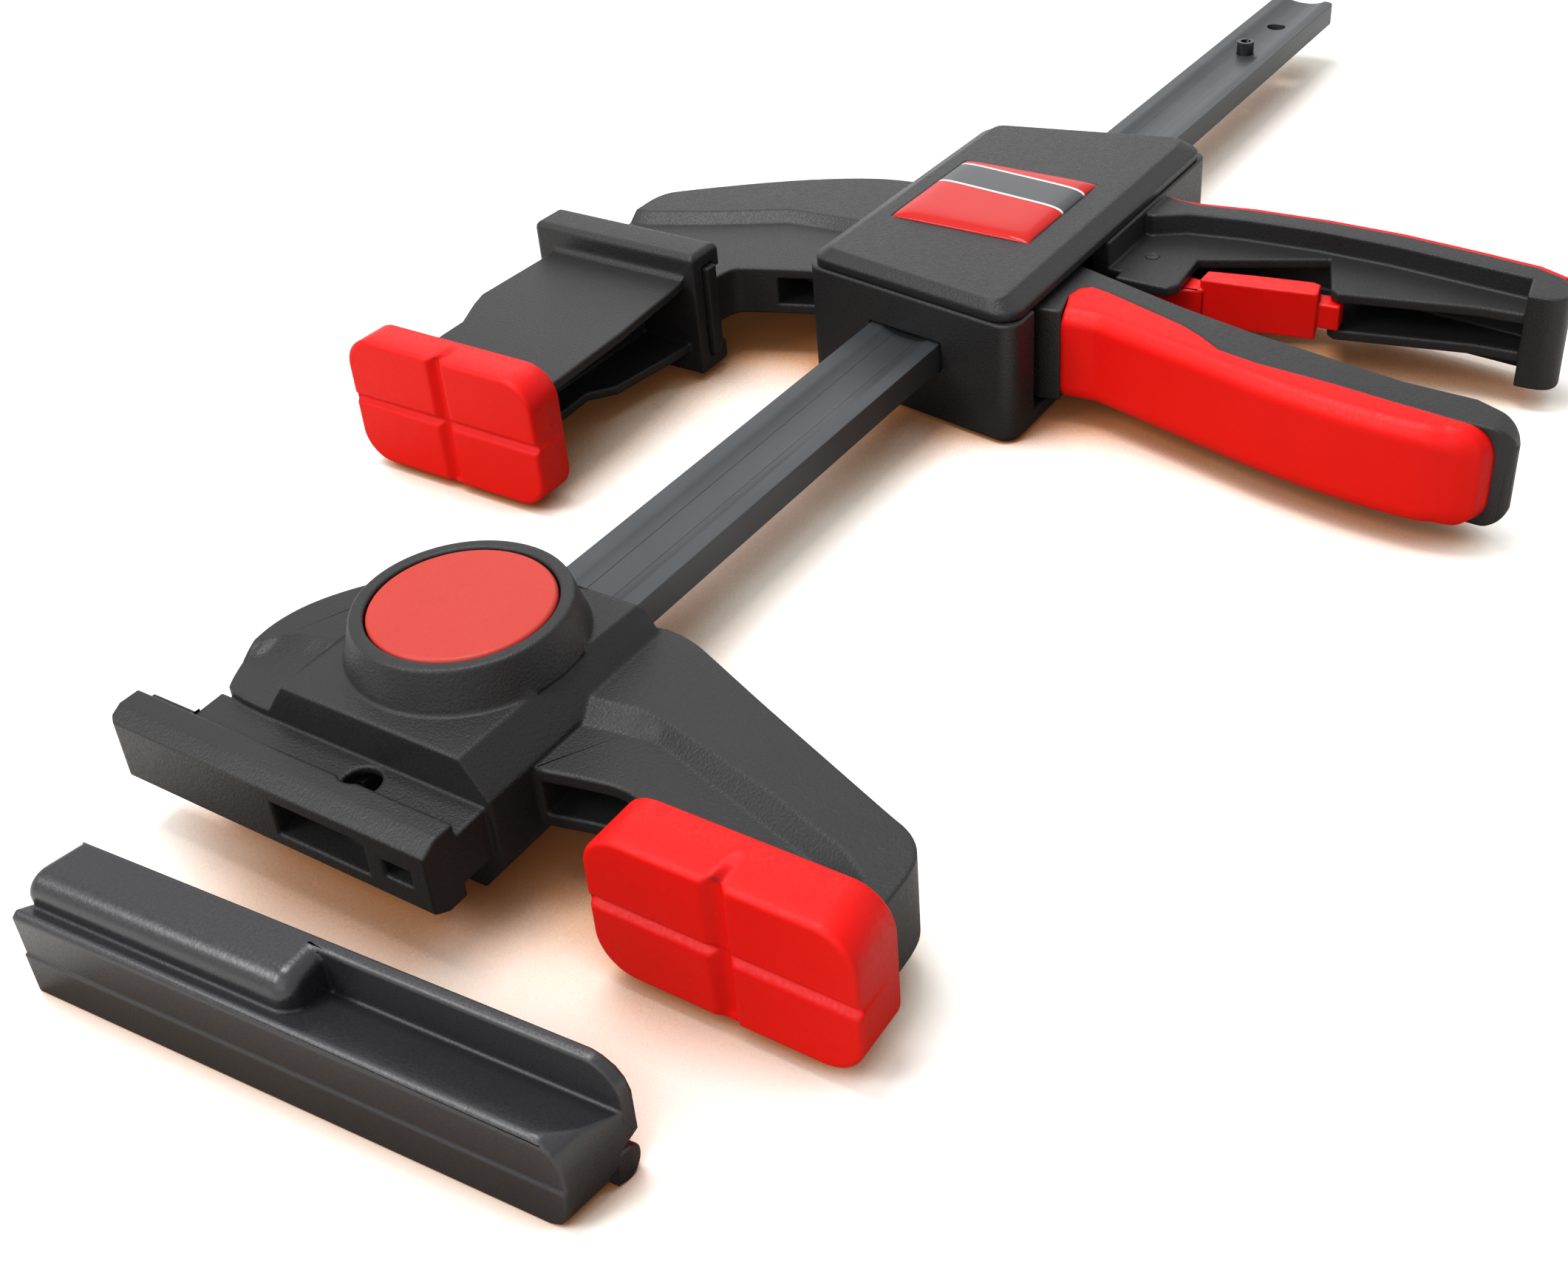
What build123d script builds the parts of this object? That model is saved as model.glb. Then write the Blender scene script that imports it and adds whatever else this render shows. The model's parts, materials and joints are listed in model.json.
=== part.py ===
"""Quick release bar clamp with a push-button fixed head, in named pieces.

Frame, in millimetres: the origin is on the button's axis, level with the fixed
head's flat underside. +X runs along the bar to its rear end, +Y points to the
sliding arm and +Z is up. Apart from the button's side, every piece is the same
above and below the bar's middle.
"""

import os
from math import cos, radians, sin

from build123d import *

os.makedirs("parts", exist_ok=True)

# ---------------------------------------------------------------- shared sizes
mid = 13.2  # height of the bar's middle
run_gap = 0.3  # between pieces that move past each other
seat_gap = 0.1  # round a piece that is pushed into its seat

bar_width = 19.0
bar_thickness = 6.3
bar_front = -26.0
bar_rear = 396.0
bar_half_y = bar_width / 2
bar_half_z = bar_thickness / 2

head_half_z = 13.2
arm_half_z = 8.0
arm_web_half_z = 5.8

rim_top = 33.7
button_radius = 15.4
button_travel = 6.6

base_bottom = -3.3
base_floor = 1.0
base_top = 25.4
cover_top = 29.7

pivot_x = 163.0
pivot_y = 17.0
pivot_radius = 2.4

release_x = 194.5
release_y = -35.2
release_radius = 1.5

brake_x = 205.5
brake_y = 20.0
brake_tilt = 2.4  # degrees, the plate's grip on the bar at rest

pad_length = 46.4  # of the fixed pad, the extension's is larger
pad_half_z = 13.6
pad_corner = 7.0
pad_seat_depth = 5.0  # from the pad's face to the plate it is pushed onto


# --------------------------------------------------------------- small helpers
def plate(outline, low, high, mode=Mode.ADD):
    """A flat plate of that outline in plan, from height low to height high."""
    with BuildSketch(Plane.XY.offset(low)) as plan:
        with BuildLine():
            Polyline(*outline, close=True)
        make_face()
    extrude(plan.sketch, amount=high - low, mode=mode)


def eased(outline, sharp=(), times=2):
    """Cuts the corners of an outline to a curve, but leaves the sharp ones."""
    points = [(x, y, (x, y) in sharp) for x, y in outline]
    for _ in range(times):
        cut = []
        for index, (x, y, keep) in enumerate(points):
            if keep:
                cut.append((x, y, True))
                continue
            for x_near, y_near, _ in (points[index - 1], points[(index + 1) % len(points)]):
                cut.append((0.75 * x + 0.25 * x_near, 0.75 * y + 0.25 * y_near, False))
        points = cut
    return [(x, y) for x, y, _ in points]


def twin_plates(outline, inner, outer, mode=Mode.ADD):
    """Two equal plates, from inner to outer above and below the bar's middle."""
    plate(outline, mid + inner, mid + outer, mode)
    plate(outline, mid - outer, mid - inner, mode)


def along_x(section, x_low, x_high, mode=Mode.ADD):
    """A bar along X with the section given as (y, z) points."""
    with BuildSketch(Plane.YZ.offset(x_low)) as face:
        with BuildLine():
            Polyline(*section, close=True)
        make_face()
    extrude(face.sketch, amount=x_high - x_low, mode=mode)


def along_y(section, y_low, y_high, mode=Mode.ADD):
    """A bar along Y with the section given as (x, z) points."""
    with BuildSketch(Plane.XZ.offset(-y_high)) as face:
        with BuildLine():
            Polyline(*section, close=True)
        make_face()
    extrude(face.sketch, amount=y_high - y_low, mode=mode)


def box(x_low, x_high, y_low, y_high, z_low, z_high, mode=Mode.ADD):
    """A square-cornered block between those limits."""
    with Locations(((x_low + x_high) / 2, (y_low + y_high) / 2, (z_low + z_high) / 2)):
        Box(x_high - x_low, y_high - y_low, z_high - z_low, mode=mode)


def post(x, y, z_low, z_high, radius, mode=Mode.ADD):
    """A round post standing along Z."""
    with Locations((x, y, (z_low + z_high) / 2)):
        Cylinder(radius, z_high - z_low, mode=mode)


def sloped_step(low_outline, low, high_outline, high, mode=Mode.SUBTRACT):
    """A block whose sides slope from one outline to the other."""
    faces = []
    for outline, height in ((low_outline, low), (high_outline, high)):
        with BuildSketch(Plane.XY.offset(height)) as plan:
            with BuildLine():
                Polyline(*outline, close=True)
            make_face()
        faces.append(plan.sketch.face())
    loft(sections=faces, ruled=True, mode=mode)


def mirrored(points):
    """Half-heights from the bar's middle, turned into a closed section."""
    upper = [(along, mid + half) for along, half in points]
    lower = [(along, mid - half) for along, half in reversed(points)]
    return upper + lower


def coil(x, y, z, length, radius, wire, turns, direction=(0, 0, 1)):
    """A spring's coil that starts at the point and runs along the direction."""
    axis = Vector(*direction)
    start = Vector(x, y, z) + axis * (wire / 2)
    rise = length - wire
    with BuildLine() as path:
        Helix(rise / turns, rise, radius, center=start, direction=axis)
    with BuildSketch(Plane(origin=path.line @ 0, z_dir=path.line % 0)) as section:
        Circle(wire / 2)
    sweep(section.sketch, path=path.line)


# ------------------------------------------------------------------------ rail
trough_width = 12.6
trough_depth = 1.3
trough_steps = 14
end_hole_x = 370.1
end_hole_radius = 2.75
stop_x = 343.7
stop_radius = 2.5
lock_hole_radius = 2.75
stem_slot = 3.0

trough = []
for step in range(trough_steps + 1):
    across = 2 * step / trough_steps - 1
    sunk = trough_depth * (1 - abs(across) ** 2.6)
    trough.append((across * trough_width / 2, bar_half_z - sunk))

with BuildPart() as rail:
    along_x(
        mirrored([(-bar_half_y, bar_half_z)] + trough + [(bar_half_y, bar_half_z)]),
        bar_front,
        bar_rear,
    )
    rear_corners = rail.edges().filter_by(Axis.Z).group_by(Axis.X)[-1]
    fillet(rear_corners, 2.5)
    post(end_hole_x, 0, 0, 30, end_hole_radius, Mode.SUBTRACT)
    post(stop_x, 0, 0, 30, stop_radius, Mode.SUBTRACT)
    post(0, 0, 0, 30, lock_hole_radius, Mode.SUBTRACT)
    box(bar_front - 1, 0, -stem_slot / 2, stem_slot / 2, 0, 30, Mode.SUBTRACT)

stop_height = 2.5  # above each face of the bar
with BuildPart() as rail_stop_pin:
    stop_half = bar_half_z + stop_height
    post(stop_x, 0, mid - stop_half, mid + stop_half, stop_radius)
    post(stop_x, 0, mid - stop_half, mid + stop_half, 1.5, Mode.SUBTRACT)
    box(stop_x + 1, stop_x + 3, -0.4, 0.4, 0, 30, Mode.SUBTRACT)

# ------------------------------------------------------------------ fixed head
spine_front = -23.8
spine_rear = 21.2
tee_front = -37.3
tee_right = -22.3
tee_left = 46.0
lock_bore_floor = 1.0

fixed_arm = [
    (16.0, -12.0),
    (21.8, -19.0),
    (22.8, -22.8),
    (21.8, -28.8),
    (19.6, -34.1),
    (12.2, -51.3),
    (4.1, -71.2),
    (1.0, -78.6),
    (-0.6, -83.0),
    (-3.4, -86.0),
    (-7.4, -87.4),
    (-16.9, -87.4),
    (-16.9, -44.6),
    (-12.4, -43.2),
    (-11.1, -39.0),
    (-11.9, -33.2),
    (-14.5, -22.2),
    (-15.5, -12.0),
]
fixed_arm_sharp = [(16.0, -12.0), (-16.9, -87.4), (-16.9, -44.6), (-15.5, -12.0)]
arm_band_high = [
    (1.8, -16.0),
    (4.1, -31.4),
    (3.3, -36.4),
    (-2.5, -59.7),
    (-8.2, -77.4),
    (-11.6, -82.6),
    (-20.0, -83.4),
    (-40.0, -83.4),
    (-40.0, -16.0),
]
arm_band_low = [
    (-3.4, -16.0),
    (-0.8, -31.0),
    (0.0, -37.3),
    (-6.2, -57.6),
    (-11.4, -74.4),
    (-14.4, -79.4),
    (-20.0, -80.2),
    (-40.0, -80.2),
    (-40.0, -16.0),
]
shoulder = [
    (16.0, 12.0),
    (20.8, 20.0),
    (16.5, 26.4),
    (8.1, 33.2),
    (0.6, 37.4),
    (-6.5, 39.0),
    (-13.8, 38.2),
    (-20.1, 35.4),
    (-23.8, 33.0),
    (-23.8, 12.0),
]
shoulder_band_high = [
    (-4.0, 14.0),
    (-4.7, 24.6),
    (-4.8, 26.8),
    (-5.2, 29.8),
    (-6.1, 32.1),
    (-7.9, 34.4),
    (-9.9, 36.9),
    (-12.5, 40.5),
    (-40.0, 40.5),
    (-40.0, 14.0),
]
shoulder_band_low = [
    (-8.0, 14.0),
    (-9.0, 24.6),
    (-10.0, 26.8),
    (-10.8, 29.8),
    (-11.7, 32.3),
    (-13.9, 34.9),
    (-15.4, 36.0),
    (-18.6, 38.5),
    (-40.0, 38.5),
    (-40.0, 14.0),
]
shoulder_web_half_z = 6.6

with BuildPart() as fixed_head:
    # the arm and the shoulder, stepped down in front of their ribs
    plate(eased(fixed_arm, fixed_arm_sharp), mid - arm_half_z, mid + arm_half_z)
    plate(eased(shoulder), mid - arm_half_z, mid + arm_half_z)
    for side in (1, -1):
        for low, high, web in (
            (arm_band_low, arm_band_high, arm_web_half_z),
            (shoulder_band_low, shoulder_band_high, shoulder_web_half_z),
        ):
            sloped_step(
                low,
                mid + side * web,
                high,
                mid + side * (arm_half_z + 0.4),
            )
    # the spine that the bar runs through
    along_x(
        mirrored([(-23.5, 6.3), (-18.7, head_half_z), (18.7, head_half_z), (23.5, 6.3)]),
        spine_front,
        spine_rear,
    )
    for side in (1, -1):
        along_y(
            [
                (spine_rear - 1.2, mid + side * (head_half_z + 0.1)),
                (spine_rear + 0.1, mid + side * (head_half_z - 1.2)),
                (spine_rear + 1.0, mid + side * (head_half_z + 1.0)),
            ],
            -30,
            30,
            Mode.SUBTRACT,
        )
    # the T rail that takes the loose pressure bar
    along_y(
        mirrored([(tee_front, 5.6), (-34.4, 7.3), (-30.5, 7.3), (-30.4, 4.7), (-28, 4.7)]),
        tee_right,
        tee_left,
    )
    along_y(mirrored([(-31.0, 4.7), (spine_front + 1, 5.0)]), tee_right, 35.5)
    plate(
        [(-40, tee_left - 4.5), (-35.5, tee_left + 1), (-40, tee_left + 1)],
        0,
        30,
        Mode.SUBTRACT,
    )
    plate(
        [(-28.8, tee_left + 1), (-28.8, 36.5), (-30.4, 36.5), (-30.4, tee_left + 1)],
        0,
        30,
        Mode.SUBTRACT,
    )
    # the plate that the pad is pushed onto
    along_x(
        mirrored([(-87.0, 6.0), (-83.4, 10.0), (-51.4, 10.0), (-47.8, 6.0)]),
        -22.7,
        -16.9,
    )
    # the button's collar
    with Locations((0, 0, (26.2 + rim_top) / 2)):
        Cone(20.2, 18.0, rim_top - 26.2)
    post(0, 0, 22.8, 40, button_radius + run_gap, Mode.SUBTRACT)
    post(0, 0, 18.0, 23.0, 5.2, Mode.SUBTRACT)
    post(0, 0, mid, 19.0, 1.7, Mode.SUBTRACT)
    post(0, 0, lock_bore_floor, mid, 3.0, Mode.SUBTRACT)
    # the slot for the bar, open through the T rail
    box(
        -40,
        30,
        -bar_half_y - seat_gap,
        bar_half_y + seat_gap,
        mid - bar_half_z - seat_gap,
        mid + bar_half_z + seat_gap,
        Mode.SUBTRACT,
    )
    # hole in the channel floor, small window and the dark pocket in the arm
    post(-28.0, -1.0, mid, 26.0, 3.2, Mode.SUBTRACT)
    box(-38, -32, -18.7, -13.2, mid - 1.7, mid + 1.7, Mode.SUBTRACT)
    box(-20, -4, -41.5, -24.6, mid - 3.3, mid + 3.3, Mode.SUBTRACT)


# ----------------------------------------------------------------------- pads
def jaw_pad(x_face, x_back, y_centre, size):
    """A soft pad with a crossed face towards -X and a seat in its back."""
    half = pad_length * size / 2
    half_z = pad_half_z * size
    with BuildSketch(Plane.YZ.offset(x_face)) as outline:
        with Locations((y_centre, mid)):
            RectangleRounded(2 * half, 2 * half_z, pad_corner)
    extrude(outline.sketch, amount=x_back - x_face)
    # crossed grooves, the upright one wider
    along_y(
        [(x_face - 1, mid - 1.6), (x_face + 1.1, mid), (x_face - 1, mid + 1.6)],
        y_centre - half - 1,
        y_centre + half + 1,
        Mode.SUBTRACT,
    )
    plate(
        [
            (x_face - 1, y_centre - 2.9),
            (x_face + 1.4, y_centre - 0.5),
            (x_face + 1.4, y_centre + 0.5),
            (x_face - 1, y_centre + 1.6),
        ],
        -5,
        35,
        Mode.SUBTRACT,
    )
    along_x(
        mirrored(
            [
                (y_centre - 19.7 * size, 6.0 * size + seat_gap),
                (y_centre - 16.1 * size, 10.0 * size + seat_gap),
                (y_centre + 16.1 * size, 10.0 * size + seat_gap),
                (y_centre + 19.7 * size, 6.0 * size + seat_gap),
            ]
        ),
        x_face + pad_seat_depth,
        x_back + 1,
        Mode.SUBTRACT,
    )


fixed_pad_y = -67.4
with BuildPart() as fixed_jaw_pad:
    jaw_pad(-27.8, -17.0, fixed_pad_y, 1.0)

# ---------------------------------------------------- button, lock pin, spring
button_under = 29.5
stem_radius = 1.3
pin_radius = 2.65

with BuildPart() as release_button:
    post(0, 0, button_under, rim_top, button_radius)
    chamfer(release_button.edges().group_by(Axis.Z)[-1], 0.5)
    post(0, 0, button_under - 1, 31.8, stem_radius, Mode.SUBTRACT)

with BuildPart() as lock_pin:
    post(0, 0, 8.0, mid + bar_half_z, pin_radius)
    post(0, 0, mid, 31.8, stem_radius)
    chamfer(lock_pin.edges().group_by(Axis.Z)[0], 0.5)

with BuildPart() as button_spring:
    coil(0, 0, 18.0, button_under - 18.0, 3.6, 0.8, 6)

# ------------------------------------------------------------------ slide body
base = [(136.0, -28.9), (144.4, 27.6), (231.4, 27.6), (243.8, -28.9)]
cavity = [(141.4, -24.4), (148.6, 23.2), (227.6, 23.2), (238.2, -24.4)]
cover = [(136.8, -28.2), (145.1, 26.9), (230.8, 26.9), (242.9, -28.2)]
columns = [(141.8, -23.6), (150.6, 20.2), (226.4, 20.2), (236.2, -22.6)]
column_radius = 3.6
corner_radius = 4.0
lever_window = (146.6, 184.3)

sliding_arm = [
    (156.6, 20.0),
    (154.2, 31.5),
    (151.4, 39.0),
    (148.4, 46.4),
    (146.5, 50.2),
    (138.0, 51.0),
    (138.0, 87.0),
    (153.4, 88.0),
    (166.8, 88.8),
    (171.0, 88.0),
    (174.2, 86.0),
    (191.3, 65.0),
    (201.0, 48.8),
    (204.9, 37.0),
    (205.6, 20.0),
]
sliding_arm_sharp = [(156.6, 20.0), (138.0, 51.0), (138.0, 87.0), (205.6, 20.0)]
slide_band_high = [
    (178.8, 27.0),
    (178.7, 37.3),
    (177.3, 53.6),
    (167.6, 71.2),
    (161.5, 84.4),
    (160.0, 95.0),
    (130.0, 95.0),
    (130.0, 27.0),
]
slide_band_low = [
    (175.4, 27.0),
    (175.2, 36.6),
    (173.6, 52.2),
    (164.2, 69.4),
    (157.8, 83.0),
    (156.4, 95.0),
    (130.0, 95.0),
    (130.0, 27.0),
]

handle_back = [
    (217.4, -27.0),
    (216.0, -32.0),
    (215.4, -38.0),
    (217.6, -50.7),
    (218.9, -68.3),
    (218.8, -85.7),
    (217.0, -103.2),
    (215.2, -117.0),
    (212.4, -123.4),
    (208.6, -126.6),
    (203.6, -127.2),
    (200.8, -124.6),
    (200.6, -118.6),
]
handle_inner = [
    (209.6, -117.4),
    (211.0, -103.2),
    (212.9, -85.7),
    (213.2, -68.3),
    (211.8, -50.7),
    (209.4, -38.0),
    (205.0, -31.0),
    (205.0, -27.0),
]
handle_tray = [
    (182.0, -27.0),
    (181.0, -31.0),
    (180.9, -44.8),
    (183.6, -46.4),
    (197.6, -45.4),
    (205.0, -60.6),
    (210.6, -72.4),
    (196.0, -77.6),
    (194.6, -79.4),
    (198.2, -94.9),
    (201.3, -108.7),
    (202.0, -118.8),
    (203.0, -121.0),
    (213.0, -119.0),
    (216.0, -103.2),
    (216.6, -68.3),
    (214.0, -38.0),
    (210.0, -27.0),
]
handle_rim_half_z = 11.0
handle_tray_half_z = 5.8
tray_thickness = 2.4
release_inner_slot = (198.0, 215.0)

tee_flange_y = (48.2, 92.0)
tee_flange_x = (134.6, 138.1)
tee_flange_half_z = 11.0

with BuildPart() as slide_body:
    # the arm, stepped down in front of its rib
    plate(eased(sliding_arm, sliding_arm_sharp), mid - arm_half_z, mid + arm_half_z)
    for side in (1, -1):
        sloped_step(
            slide_band_low,
            mid + side * arm_web_half_z,
            slide_band_high,
            mid + side * (arm_half_z + 0.4),
        )
    box(
        *tee_flange_x,
        *tee_flange_y,
        mid - tee_flange_half_z,
        mid + tee_flange_half_z,
    )
    # the fixed grip behind the lever
    handle_end = handle_back[-4:-1]
    handle_rim = handle_back + handle_inner
    plate(
        eased(handle_rim, [point for point in handle_rim if point not in handle_end]),
        mid - handle_rim_half_z,
        mid + handle_rim_half_z,
    )
    twin_plates(handle_tray, handle_tray_half_z - tray_thickness, handle_tray_half_z)
    # the box round the bar
    with BuildSketch(Plane.XY.offset(base_bottom)) as footprint:
        with BuildLine():
            Polyline(*base, close=True)
        make_face()
        fillet(footprint.vertices(), corner_radius)
    extrude(footprint.sketch, amount=base_top - base_bottom)
    chamfer(slide_body.faces().sort_by(Axis.Z)[0].outer_wire().edges(), 1.2)
    plate(cavity, base_floor, base_top + 1, Mode.SUBTRACT)
    box(*lever_window, -32, -20, base_floor, base_top + 1, Mode.SUBTRACT)
    box(*release_inner_slot, -30, -20, mid - 4.2, mid + 4.2, Mode.SUBTRACT)
    # columns for the screws, with their holes and the counterbores below
    for x, y in columns:
        post(x, y, base_floor - 0.5, base_top, column_radius)
    for x, y in columns:
        post(x, y, base_bottom - 1, base_top + 1, 1.5, Mode.SUBTRACT)
        post(x, y, base_bottom - 1, -0.3, 3.0, Mode.SUBTRACT)
    # seat of the lever's pivot pin, seats of the springs and of the brake plate
    post(pivot_x, pivot_y, base_floor - 0.5, 5.6, 5.0)
    post(pivot_x, pivot_y, 2.5, 6, pivot_radius, Mode.SUBTRACT)
    box(198.0, 200.4, 10.6, 16.4, base_floor - 0.5, 18.0)
    box(196.2, 198.6, -19.0, -11.0, base_floor - 0.5, 18.0)
    box(201.6, 203.6, 16.4, 24.0, base_floor - 0.5, 22.0)
    box(207.6, 209.6, 16.4, 24.0, base_floor - 0.5, 22.0)
    # the way through for the bar
    box(
        130,
        250,
        -bar_half_y - run_gap,
        bar_half_y + run_gap,
        mid - bar_half_z - run_gap,
        mid + bar_half_z + run_gap,
        Mode.SUBTRACT,
    )
    # window in the arm beside the box, and the release lever's pin hole
    box(145, 164, 31.0, 40.5, mid - 3.3, mid + 3.3, Mode.SUBTRACT)
    post(release_x, release_y, 0, 30, release_radius, Mode.SUBTRACT)

# --------------------------------------------------------- cover, badge, screws
badge_x = 185.8
badge_y = 1.1
badge_length = 36.2
badge_width = 35.2
badge_seat = 28.6
badge_top = 31.0
cover_crown = [(139.0, -23.9), (146.9, 22.8), (228.4, 22.8), (239.8, -23.9)]

with BuildPart() as housing_cover:
    with BuildSketch(Plane.XY.offset(base_top)) as cover_plan:
        with BuildLine():
            Polyline(*cover, close=True)
        make_face()
        fillet(cover_plan.vertices(), corner_radius)
    extrude(cover_plan.sketch, amount=2.1)
    with BuildSketch(Plane.XY.offset(cover_top)) as crown_plan:
        with BuildLine():
            Polyline(*cover_crown, close=True)
        make_face()
        fillet(crown_plan.vertices(), 2.0)
    loft(
        sections=[
            housing_cover.faces().sort_by(Axis.Z)[-1],
            crown_plan.sketch.face(),
        ],
        ruled=True,
    )
    box(
        badge_x - badge_length / 2 - seat_gap,
        badge_x + badge_length / 2 + seat_gap,
        badge_y - badge_width / 2 - seat_gap,
        badge_y + badge_width / 2 + seat_gap,
        badge_seat,
        40,
        Mode.SUBTRACT,
    )
    post(pivot_x, pivot_y, 20.8, base_top + 0.1, 5.0)
    post(pivot_x, pivot_y, 20.0, 23.9, pivot_radius, Mode.SUBTRACT)
    for x, y in columns:
        post(x, y, base_top - 1, 27.4, 1.5, Mode.SUBTRACT)

with BuildPart() as badge_plate:
    box(
        badge_x - badge_length / 2,
        badge_x + badge_length / 2,
        badge_y - badge_width / 2,
        badge_y + badge_width / 2,
        badge_seat,
        badge_top,
    )
    fillet(badge_plate.edges().group_by(Axis.Z)[-1], 1.2)

with BuildPart() as cover_screws:
    for x, y in columns:
        post(x, y, -2.6, -0.3, 2.8)
        post(x, y, -0.3, 27.4, 1.5)
        box(x - 1.9, x + 1.9, y - 0.4, y + 0.4, -2.7, -1.6, Mode.SUBTRACT)
        box(x - 0.4, x + 0.4, y - 1.9, y + 1.9, -2.7, -1.6, Mode.SUBTRACT)

# ------------------------------------------------------------- soft grip strip
strip_outer = [
    (217.9, -29.4),
    (216.9, -33.0),
    (217.2, -38.0),
    (219.6, -50.7),
    (220.9, -68.3),
    (220.8, -85.7),
    (219.0, -103.2),
    (217.1, -117.6),
    (213.8, -124.6),
]
strip_inner = [
    (212.4, -123.4),
    (215.2, -117.0),
    (217.0, -103.2),
    (218.8, -85.7),
    (218.9, -68.3),
    (217.6, -50.7),
    (215.4, -38.0),
    (216.0, -32.0),
]
with BuildPart() as handle_strip:
    plate(
        strip_outer + strip_inner,
        mid - handle_rim_half_z + 0.4,
        mid + handle_rim_half_z - 0.4,
    )

# ------------------------------------------------------------------ pump lever
lever_half_z = 11.0
cheek_inner = 3.8
cheek_outer = 7.3
seam = [
    (150.9, -33.0),
    (158.5, -31.2),
    (162.5, -31.8),
    (164.4, -34.0),
    (163.6, -38.0),
    (156.2, -58.6),
    (153.3, -63.9),
    (149.4, -69.4),
    (147.4, -78.4),
    (146.1, -94.1),
    (144.0, -109.6),
    (143.1, -118.4),
    (142.6, -128.2),
]
lever_back = [
    (143.6, -131.6),
    (146.4, -132.0),
    (148.8, -129.6),
    (152.5, -121.4),
    (153.1, -106.7),
    (156.1, -90.7),
    (159.8, -71.9),
    (164.1, -55.3),
    (171.4, -32.9),
    (173.5, -26.4),
    (171.5, -24.6),
    (171.5, -14.0),
    (152.4, -14.0),
    (150.4, -25.6),
    (149.9, -28.6),
]
grip_front = [
    (139.6, -126.4),
    (137.6, -121.7),
    (136.4, -114.4),
    (137.4, -99.4),
    (140.3, -82.5),
    (145.0, -64.9),
    (151.4, -41.0),
]
cheeks = [
    (150.0, -27.0),
    (156.9, 12.0),
    (157.2, 19.0),
    (168.8, 19.0),
    (171.5, 8.0),
    (171.5, -27.0),
]

lever_end = [(143.6, -131.6), (146.4, -132.0), (148.8, -129.6)]
lever_end_radius = 5.5
grip_edge_radius = 4.0
grip_end_radius = 6.5
grip_start_y = -31.2


def round_end(end_y, outward, radius):
    """Rounds the lever's end at end_y seen from the side, above and below."""
    centre_y = end_y - outward * radius
    beyond_y = end_y + 3 * outward
    for side in (1, -1):
        centre_z = mid + side * (lever_half_z - radius)
        beyond_z = mid + side * (lever_half_z + 1)
        with BuildSketch(Plane.YZ.offset(120)) as corner:
            with BuildLine():
                Polyline(
                    (centre_y, centre_z),
                    (centre_y, beyond_z),
                    (beyond_y, beyond_z),
                    (beyond_y, centre_z),
                    close=True,
                )
            make_face()
            with Locations((centre_y, centre_z)):
                Circle(radius, mode=Mode.SUBTRACT)
        extrude(corner.sketch, amount=60, mode=Mode.SUBTRACT)


with BuildPart() as pump_lever:
    lever_plan = seam + lever_back
    plate(
        eased(lever_plan, [point for point in lever_plan if point not in lever_end]),
        mid - lever_half_z,
        mid + lever_half_z,
    )
    round_end(lever_end[1][1], -1, lever_end_radius)
    box(140, 180, -25.4, 0, 0, mid - cheek_outer, Mode.SUBTRACT)
    box(140, 180, -25.4, 0, mid + cheek_outer, 30, Mode.SUBTRACT)
    twin_plates(cheeks, cheek_inner, cheek_outer)
    for low, high in (
        (mid - cheek_outer, mid - cheek_inner),
        (mid + cheek_inner, mid + cheek_outer),
    ):
        post(pivot_x, pivot_y, low, high, 6.0)
    post(pivot_x, pivot_y, 0, 30, pivot_radius + seat_gap, Mode.SUBTRACT)

with BuildPart() as pump_grip:
    with BuildSketch(Plane.XY.offset(mid - lever_half_z)) as grip_plan:
        with BuildLine():
            Polyline(*seam)
            Polyline(seam[-1], grip_front[0])
            Spline(*grip_front)
            Polyline(grip_front[-1], seam[0])
        make_face()
    extrude(grip_plan.sketch, amount=2 * lever_half_z)
    long_edges = pump_grip.edges().filter_by(GeomType.BSPLINE)
    fillet(long_edges, grip_edge_radius)
    round_end(seam[-1][1], -1, grip_end_radius)
    round_end(grip_start_y, 1, grip_edge_radius)

with BuildPart() as pump_pivot_pin:
    post(pivot_x, pivot_y, 2.5, 23.9, pivot_radius)

with BuildPart() as pump_return_spring:
    coil(pivot_x, pivot_y, 10.0, 6.4, 3.6, 1.0, 4)

# --------------------------------------------- drive plates, brake, their springs
drive_x = 171.8
drive_thickness = 3.0
plate_half_z = 8.5
with BuildPart() as drive_plates:
    for step in range(2):
        near = drive_x + step * (drive_thickness + 0.1)
        box(
            near,
            near + drive_thickness,
            -19.0,
            14.6,
            mid - plate_half_z,
            mid + plate_half_z,
        )
    box(
        drive_x - 1,
        drive_x + 10,
        -bar_half_y - run_gap,
        bar_half_y + run_gap,
        mid - bar_half_z - run_gap,
        mid + bar_half_z + run_gap,
        Mode.SUBTRACT,
    )

drive_back = drive_x + 2 * drive_thickness + 0.1
with BuildPart() as drive_spring:
    coil(drive_back, 13.0, mid, 198.0 - drive_back, 1.4, 0.6, 9, (1, 0, 0))

brake_thickness = 3.0
brake_plane = Plane(
    origin=(brake_x, brake_y, mid),
    x_dir=(cos(radians(brake_tilt)), sin(radians(brake_tilt)), 0),
)
with BuildPart(brake_plane) as brake_plate:
    with Locations((0, -20.5, 0)):
        Box(brake_thickness, 41.0, 2 * plate_half_z)
    with Locations((0, 0, 0)):
        Cylinder(brake_thickness / 2, 2 * plate_half_z)
    with Locations((0, -brake_y, 0)):
        Box(10, 20.3, 7.1, mode=Mode.SUBTRACT)

spring_x = 198.6
spring_end = brake_x - brake_thickness / 2 + 35 * sin(radians(brake_tilt)) - 0.2
with BuildPart() as brake_spring:
    coil(spring_x, -15.0, mid, spring_end - spring_x, 2.2, 0.6, 5, (1, 0, 0))

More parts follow.
